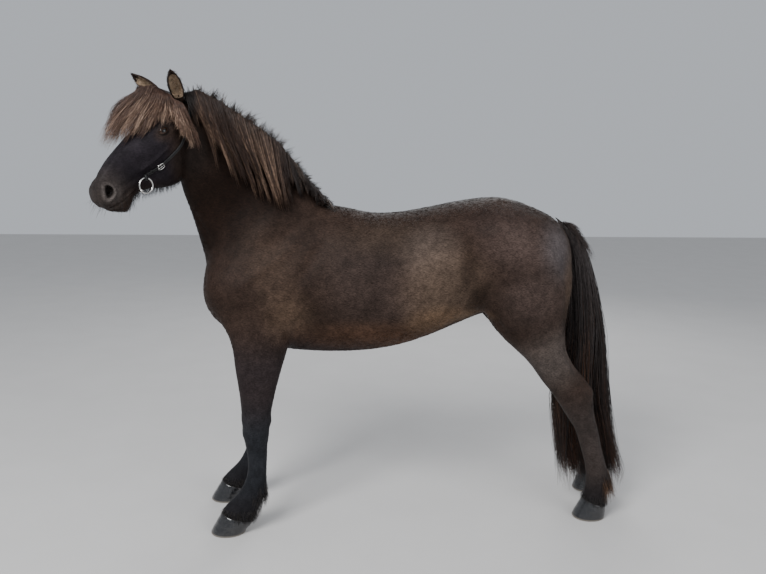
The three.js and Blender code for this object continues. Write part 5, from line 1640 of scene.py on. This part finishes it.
def plain_piece(name, form, material, replaces=(), values=None):
    mesh = mesh_of(name, *form)
    set_values(mesh, values or {})
    return piece_of(name, mesh, material, replaces)


# Eyes: balls in their lids, with a level pupil; their ring value is low in the pupil and rises outwards
PUPIL_LONG, PUPIL_HIGH = 0.42, 0.24  # shares of the eye's radius


def eyeball(side, steps=48, sides=64):
    at, out, along, up = eye_frame(side)
    polar = np.linspace(0.02, math.pi - 0.02, steps)[:, None, None]
    turn = np.linspace(0, 2 * math.pi, sides, endpoint=False)[None, :, None]
    away = np.sin(polar) * (np.cos(turn) * along + np.sin(turn) * up) + np.cos(polar) * out
    verts, quads, tris = skin_of(at + away * EYE_RADIUS)
    gap = unit(verts - at)
    u, w, ahead = gap @ along, gap @ up, gap @ out
    pupil = np.hypot(u / PUPIL_LONG, w / PUPIL_HIGH)
    ring = np.where(pupil < 1, 0.3 * pupil, np.maximum(np.hypot(u, w), 0.43))
    return (from_head(verts), quads, tris), np.where(ahead > 0, ring, 1.2)


HEAD_SIDES = {"left": 1, "right": -1}
for name, side in HEAD_SIDES.items():
    form, ring = eyeball(side)
    plain_piece("eye_ball_" + name, form, EYE, ["eye_" + name], {"ring": ring})

# Hooves, with faint growth rings; their level runs from 0 at the top to 1 at the ground
HOOF_SIDES = 64
for leg, (_, hoof, side, shift, reach) in LEGS.items():
    rings = leg_rings(hoof, side, shift, reach, 12, HOOF_SIDES)
    levels = np.linspace(0, 1, len(rings))
    middle = rings.mean(1, keepdims=True)
    ripple = np.sin(levels * 46) * soft_step(levels, 0.25, 0.4) * soft_step(1 - levels, 0.03, 0.12)
    rings = middle + (rings - middle) * (1 + 0.006 * ripple)[:, None, None]
    at_points = {"level": [*np.repeat(levels, HOOF_SIDES), 0, 1]}
    plain_piece("wall_" + leg, skin_of(rings), HORN, ["hoof_" + leg], at_points)

# Bridle: a strap over the crown and down each cheek to its ring: [distance from the poll, degrees round]
RING_AT = np.array([356, 66, -138])
RING_RADIUS = 28
RING_WIRE = 3.2
STRAP = [
    [-16, 90],
    [-15, 76],
    [-11, 62],
    [-3, 47],
    [12, 32],
    [44, 14],
    [80, 2],
    [118, -6],
    [160, -12],
    [210, -15],
    [262, -21],
    [300, -20],
    [331, -18],
]
STRAP_WIDTH = 11
STRAP_THICK = 3
STRAP_LIFT = 4.0
STRAP_STEPS = 200
STITCH = [[0.45, 0.3], [-0.45, 0.3], [-0.45, -0.3], [0.45, -0.3]]
STITCH_INSET = 1.8


def strap_point(a, degrees, side, lift):
    turn = math.radians(degrees)
    out = unit(np.array([0, side * math.cos(turn), math.sin(turn)]) @ HEAD_TURN)
    point, normal = on_skin(from_head([a, 0, -100]), out, 0)
    return point + normal * lift, normal


# Rings of an outline carried along points, its second direction facing outwards
def swept(points, outs, outline):
    along = unit(np.gradient(points, axis=0))
    flat = unit(outs - along * (outs * along).sum(1, keepdims=True))
    across = np.cross(along, flat)
    outline = np.asarray(outline, float)
    return points[:, None] + across[:, None] * outline[None, :, :1] + flat[:, None] * outline[None, :, 1:]


# The outline of a flat band with rounded edges
def rounded(width, thick, edge=1.1, steps=4):
    outline = []
    for corner, (sx, sy) in enumerate([(1, 1), (-1, 1), (-1, -1), (1, -1)]):
        for k in range(steps + 1):
            turn = (corner + k / steps) * math.pi / 2
            outline.append([
                sx * (width / 2 - edge) + edge * math.cos(turn),
                sy * (thick / 2 - edge) + edge * math.sin(turn),
            ])
    return outline


places = [strap_point(*row, -1, STRAP_LIFT) for row in STRAP[:0:-1]]
places += [strap_point(*row, 1, STRAP_LIFT) for row in STRAP]
steps = np.linspace(0, len(places) - 1.001, STRAP_STEPS)
strap_rows, strap_outs = (between([place[k] for place in places], steps) for k in range(2))
strap_outs = unit(strap_outs)
forms = [skin_of(swept(strap_rows, strap_outs, rounded(STRAP_WIDTH, STRAP_THICK)))]
stitches = []
for k in range(3, STRAP_STEPS - 3):
    step = strap_rows[k + 1] - strap_rows[k]
    across = unit(np.cross(step, strap_outs[k])) * (STRAP_WIDTH / 2 - STITCH_INSET)
    for edge in (-1, 1):
        start = strap_rows[k] + across * edge + strap_outs[k] * (STRAP_THICK / 2 + 0.1)
        path = np.array([start + step * share for share in (0.15, 0.5, 0.85)])
        stitches.append(skin_of(swept(path, np.tile(strap_outs[k], (3, 1)), STITCH)))


# A round wire that runs through points and back to the first
def wire_loop(points, sides, radius):
    along = unit(np.roll(points, -1, 0) - np.roll(points, 1, 0))
    out = unit(points - points.mean(0))
    up = np.cross(along, out)
    turn = np.linspace(0, 2 * math.pi, sides, endpoint=False)[None, :, None]
    return closed_tube(points[:, None] + radius * (np.cos(turn) * out[:, None] + np.sin(turn) * up[:, None]))


# Each cheek strap folds round its ring, with a keeper above
LOWEST = np.array([math.sin(HEAD_PITCH), 0, -math.cos(HEAD_PITCH)])
FOLD_HIGH, FOLD_WIDE, FOLD_HALF_THICK = 9, 6.2, 1.4
KEEPER_LONG = 6
for side in HEAD_SIDES.values():
    outward = np.array([0, side, 0])
    turn = np.linspace(0, 2 * math.pi, 28, endpoint=False)[:, None]
    ring_top = RING_AT * [1, side, 1] - LOWEST * RING_RADIUS
    fold = ring_top - LOWEST * FOLD_HIGH * np.cos(turn) + outward * FOLD_WIDE * np.sin(turn)
    thick = unit(fold - fold.mean(0)) * FOLD_HALF_THICK
    wide = unit(np.cross(LOWEST, outward)) * STRAP_WIDTH / 2
    band = np.stack([fold + wide + thick, fold - wide + thick, fold - wide - thick, fold + wide - thick], 1)
    verts, quads, tris = closed_tube(band)
    forms.append((from_head(verts), quads, tris))
    for at in (0.80, 0.93):
        low, round_at = mix(160, 331, at), mix(-15, -21, at)
        ends = [strap_point(a, round_at, side, STRAP_LIFT) for a in (low, low + KEEPER_LONG)]
        path, outs = (np.array([end[k] for end in ends]) for k in range(2))
        forms.append(skin_of(swept(path, outs, rounded(STRAP_WIDTH + 5, STRAP_THICK + 3.4))))
plain_piece("strap", joined(forms), LEATHER, ["headstall"])
plain_piece("stitches", joined(stitches), THREAD)

# Rings with the stub of the bit's mouthpiece, and buckles on the cheek straps
LENGTHWISE = np.array([1.0, 0, 0])
FACEWARD = np.array([0, 0, 1.0])
STUB = [[8, 2.5], [7, 4.6], [4, 5.4], [-8, 5.6], [-12, 5.0]]  # how far out, radius
BUCKLE_AT, BUCKLE_AHEAD = (262, -21), (282, -20.5)
BUCKLE_LIFT = 8.4
BUCKLE_LONG, BUCKLE_WIDE = 13, 10.5  # half sizes
for name, side in HEAD_SIDES.items():
    at = RING_AT * [1, side, 1]
    ring_points = round_section(at, LENGTHWISE, FACEWARD, RING_RADIUS, 96)
    parts = [wire_loop(from_head(ring_points), 16, RING_WIRE)]
    stub_at = at + [RING_RADIUS, -side * 2, 0]
    stub = []
    for out, radius in STUB:
        stub.append(round_section(stub_at + [0, side * out, 0], LENGTHWISE, FACEWARD, radius, 24))
    parts.append(skin_of(from_head(np.array(stub))))
    plain_piece("bit_" + name, joined(parts), STEEL, ["bit_ring_" + name])
    place, out = strap_point(*BUCKLE_AT, side, BUCKLE_LIFT)
    ahead = strap_point(*BUCKLE_AHEAD, side, BUCKLE_LIFT)[0] - place
    ahead = unit(ahead - out * np.dot(ahead, out))
    across = np.cross(out, ahead)
    turn = np.linspace(0, 2 * math.pi, 48, endpoint=False)[:, None]
    c, s = np.cos(turn), np.sin(turn)
    frame_points = place + ahead * BUCKLE_LONG * np.sign(c) * np.abs(c) ** 0.5
    frame_points = frame_points + across * BUCKLE_WIDE * np.sign(s) * np.abs(s) ** 0.5
    bar, tongue = [], []
    for share in np.linspace(-1, 1, 5):
        bar.append(round_section(place + across * BUCKLE_WIDE * share, ahead, out, 1.2, 12))
        tongue.append(round_section(place + out * 1.6 + ahead * BUCKLE_LONG * share, across, out, 0.9, 12))
    parts = [wire_loop(frame_points, 10, 1.6), skin_of(np.array(bar)), skin_of(np.array(tongue))]
    plain_piece("clasp_" + name, joined(parts), STEEL, ["buckle_" + name])


# Loose hair: paths that spring from the skin and bend over to fall, with the outward direction along them
HAIR_BEND = 0.5
HAIR_SCATTER = 0.14


def hanging(points, normals, lengths, fall, lift, rings):
    count = len(points)
    fall = np.broadcast_to(np.asarray(fall, float), (count, 3)) + RANDOM.normal(0, HAIR_SCATTER, (count, 3))
    share = np.linspace(0, 1, rings)[None, :, None]
    down = share * unit(fall)[:, None] * mix(HAIR_BEND, 1, share)
    out = normals[:, None] * lift * (share - 0.45 * share**2)
    paths = points[:, None] + lengths[:, None, None] * (down + out)
    paths[:, 0] -= normals * 2
    return paths + wavy(count, rings, 1.6), np.repeat(normals[:, None], rings, 1)


# Strands drawn together towards the nearest of a few of their own roots
def gathered(paths, points, clumps, share):
    keys = points[RANDOM.integers(0, len(points), clumps)]
    gap = np.linalg.norm(points[:, None] - keys[None], axis=2)
    near = keys[np.argmin(gap, axis=1)]
    step = np.linspace(0, 1, paths.shape[1])[None, :, None]
    return paths + (near - points)[:, None] * share * step


# A piece of such hair; widths are drawn before tones where a range of tones is given
def loose_piece(name, paths, widths, outward, points, normals, tones, kind, replaces=()):
    half = tapered(RANDOM.uniform(*widths, len(points)), paths.shape[1])
    if isinstance(tones, tuple):
        tones = RANDOM.uniform(*tones, len(points))
    strands(name, paths, half, outward, points, normals, tones, HAIR[kind], "coat", replaces)


# Locks behind the fetlocks
FETLOCK_COUNT = 420
FETLOCKS = {
    "fore": {"rear": -560, "level": 168, "long": (24, 52), "back": 0.02, "kind": "dark"},
    "hind": {"rear": 960, "level": 172, "long": (38, 92), "back": 0.2, "kind": "feather"},
}
for leg, (_, _, side, _, _) in LEGS.items():
    end = leg.split("_")[0]
    lock = FETLOCKS[end]
    own_leg = (TRI_MIDDLE[:, 1] * side > 0) & ((tri_x < 0) == (end == "fore"))
    level = np.exp(-(((tri_z - lock["level"]) / 34) ** 2))
    weight = TRI_AREA * own_leg * level * np.clip(TRI_NORMAL[:, 0], 0, 1) * (read_left[:, 0] > lock["rear"])
    points, normals = chosen_roots(weight, FETLOCK_COUNT)
    lengths = RANDOM.uniform(*lock["long"], FETLOCK_COUNT)
    paths, outward = hanging(points, normals, lengths, [lock["back"], 0, -1.0], 0.2, 7)
    paths = gathered(paths, points, 12, 0.4)
    paths[..., 2] = np.maximum(paths[..., 2], 14)
    tones = RANDOM.uniform(0, 0.8, FETLOCK_COUNT)
    node = "feather_" + leg
    loose_piece("tuft_" + leg, paths, (1.1, 2.0), outward, points, normals, tones, lock["kind"], [node])

# Hair over the tops of the hooves
CORONET_COUNT = 2600
at_hooves = (tri_z < 108) & (tri_z > 44) & (TRI_NORMAL[:, 2] > -0.6)
points, normals = chosen_roots(TRI_AREA * at_hooves, CORONET_COUNT)
lengths = RANDOM.uniform(13, 27, CORONET_COUNT)
paths, outward = hanging(points, normals, lengths, normals * [0.75, 0.4, 0] - [0, 0, 1.0], 0.22, 5)
paths[..., 2] = np.maximum(paths[..., 2], 22)
loose_piece("coronet_hair", paths, (1.1, 2.0), outward, points, normals, (0, 0.8), "dark")

# Hair under the jaw: [distance from the poll, height below which it grows] and [distance, length]
JAW_COUNT = 1300
JAW_EDGE = [[60, -170], [200, -185], [300, -150], [380, -135], [470, -130]]
JAW_LONG = [[60, 8], [140, 11], [230, 19], [300, 33], [350, 42], [400, 36], [440, 22], [470, 12]]
under = is_head & (tri_head[:, 0] > 60) & (tri_head[:, 0] < 470) & (TRI_NORMAL @ HEAD_TURN[2] < -0.55)
under &= tri_head[:, 2] < looked_up(tri_head[:, 0], JAW_EDGE)
points, normals = chosen_roots(TRI_AREA * under, JAW_COUNT)
lengths = looked_up(to_head(points)[:, 0], JAW_LONG) * RANDOM.uniform(0.35, 1.05, JAW_COUNT)
paths, outward = hanging(points, normals, lengths, ALONG * 0.35 + np.array([0, 0, -1.0]), 0.3, 7)
paths = gathered(paths, points, 220, 0.16)
loose_piece("jaw_hair", paths, (0.6, 1.1), outward, points, normals, (0.1, 0.9), "dark", ["beard"])

# Pale hair in the ears and dark hair on their rims
for label, where, count, kind, long in (
    ("ear_hair", in_ear, 900, "ear", (7, 15)),
    ("ear_rim", is_ear & ~in_ear & (tri_head[:, 2] > 20), 700, "dark", (3, 6)),
):
    points, normals = chosen_roots(TRI_AREA * where, count)
    toward = np.empty((count, 3))
    for name, side in HEAD_SIDES.items():
        out_ear, _, up_ear = ear_frame(name)[0] @ HEAD_TURN
        toward[(to_head(points)[:, 1] > 0) == (side > 0)] = up_ear + out_ear * 0.3
    paths, outward = hanging(points, normals, RANDOM.uniform(*long, count), toward, 0.25, 5)
    loose_piece(label, paths, (0.9, 1.6), outward, points, normals, (0, 1), kind)

# Lashes above the eyes, and whiskers on lips and chin
LASH_COUNT = 70
WHISKER_COUNT = 90
lashes = []
for side in HEAD_SIDES.values():
    at, out, along, up = eye_frame(side)
    for _ in range(LASH_COUNT):
        u = RANDOM.uniform(-0.85, 0.7) * SLIT_LONG
        w = SLIT_HIGH * UPPER_LID * math.sqrt(max(0, 1 - (u / SLIT_LONG) ** 2)) + 0.6
        lid_out = unit(along * u + up * w + out * math.sqrt(max(1, EYE_RADIUS**2 - u * u - w * w)))
        root = at + lid_out * (EYE_RADIUS + 2.2)
        long = RANDOM.uniform(9, 17)
        lean = unit(out + up * RANDOM.uniform(-0.5, -0.1) + along * (u / 40 + RANDOM.normal(0, 0.08)))
        step = np.linspace(0, 1, 5)[:, None]
        lashes.append(from_head(root + lean * long * step + up * long * 0.28 * step * step))
at_lips = is_head & (tri_head[:, 0] > 400) & (tri_head[:, 2] < -70)
points, normals = chosen_roots(TRI_AREA * at_lips, WHISKER_COUNT)
lengths = RANDOM.uniform(14, 42, WHISKER_COUNT)
whiskers, _ = hanging(points, normals, lengths, ALONG * 0.5 + np.array([0, 0, -0.8]), 0.9, 5)
paths = np.concatenate([np.array(lashes), whiskers])
outward = np.tile(LEFTWARD, (len(paths), 5, 1))
fine = (tapered(np.full(len(paths), 0.7), 5), outward, paths[:, 0], outward[:, 0], np.full(len(paths), 0.2))
strands("lashes_whiskers", paths, *fine, HAIR["dark"], "coat")

# Camera
FOCAL_PIXELS = 720
PICTURE_WIDTH = 766
SENSOR = 36
CAMERA_AT = np.array([-323.73907, -3054.16575, 1567.0])
yaw, pitch, roll = math.radians(6), math.radians(10), math.radians(0.9)
flat_right = np.array([math.cos(yaw), -math.sin(yaw), 0])
view = np.array([math.sin(yaw) * math.cos(pitch), math.cos(yaw) * math.cos(pitch), -math.sin(pitch)])
flat_up = np.cross(flat_right, view)
right = flat_right * math.cos(roll) + flat_up * math.sin(roll)
up = flat_up * math.cos(roll) - flat_right * math.sin(roll)
lens = bpy.data.cameras.new("camera")
lens.sensor_width = SENSOR
lens.lens = FOCAL_PIXELS * SENSOR / PICTURE_WIDTH
camera = bpy.data.objects.new("camera", lens)
turn = np.eye(4)
turn[:3, 0], turn[:3, 1], turn[:3, 2], turn[:3, 3] = right, up, -view, (CAMERA_AT + SHIFT) / MM
camera.matrix_world = Matrix(turn.tolist())
bpy.context.scene.collection.objects.link(camera)
bpy.context.scene.camera = camera

# Floor and light
FLOOR_REACH = 12
floor_mesh = bpy.data.meshes.new("floor")
floor_corners = [(x * FLOOR_REACH, y * FLOOR_REACH, 0) for x, y in ((-1, -1), (1, -1), (1, 1), (-1, 1))]
floor_mesh.from_pydata(floor_corners, [], [(0, 1, 2, 3)])
floor = bpy.data.objects.new("floor", floor_mesh)
bpy.context.scene.collection.objects.link(floor)
ground = Painter("floor", 0.85)
ground.colour(ground.mixed(ground.noise(ground.here(), 3.0), (0.56, 0.55, 0.54), (0.62, 0.61, 0.60)))
floor_mesh.materials.append(ground.material)
floor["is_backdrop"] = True
world = bpy.data.worlds.new("world")
bpy.context.scene.world = world
world.use_nodes = True
sky = world.node_tree.nodes["Background"]
sky.inputs["Color"].default_value = (0.80, 0.84, 0.90, 1)
sky.inputs["Strength"].default_value = 0.62


# A square soft lamp that faces a place, in metres
def lamp(name, at, aim, size, power):
    light = bpy.data.lights.new(name, "AREA")
    light.size = size
    light.energy = power
    holder = bpy.data.objects.new(name, light)
    holder.location = at
    holder.rotation_euler = (Vector(aim) - Vector(at)).to_track_quat("-Z", "Y").to_euler()
    bpy.context.scene.collection.objects.link(holder)


lamp("key", (-2.8, -3.6, 4.6), (0, 0, 0.9), 2.4, 330)
lamp("fill", (3.2, -3.4, 2.6), (0, 0, 0.9), 3.2, 90)
lamp("back", (1.5, 4.0, 3.6), (0, 0, 1.1), 2.6, 70)

# How far the solids and this model reach
boxes = {"cad": CAD_BOX, "model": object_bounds()}
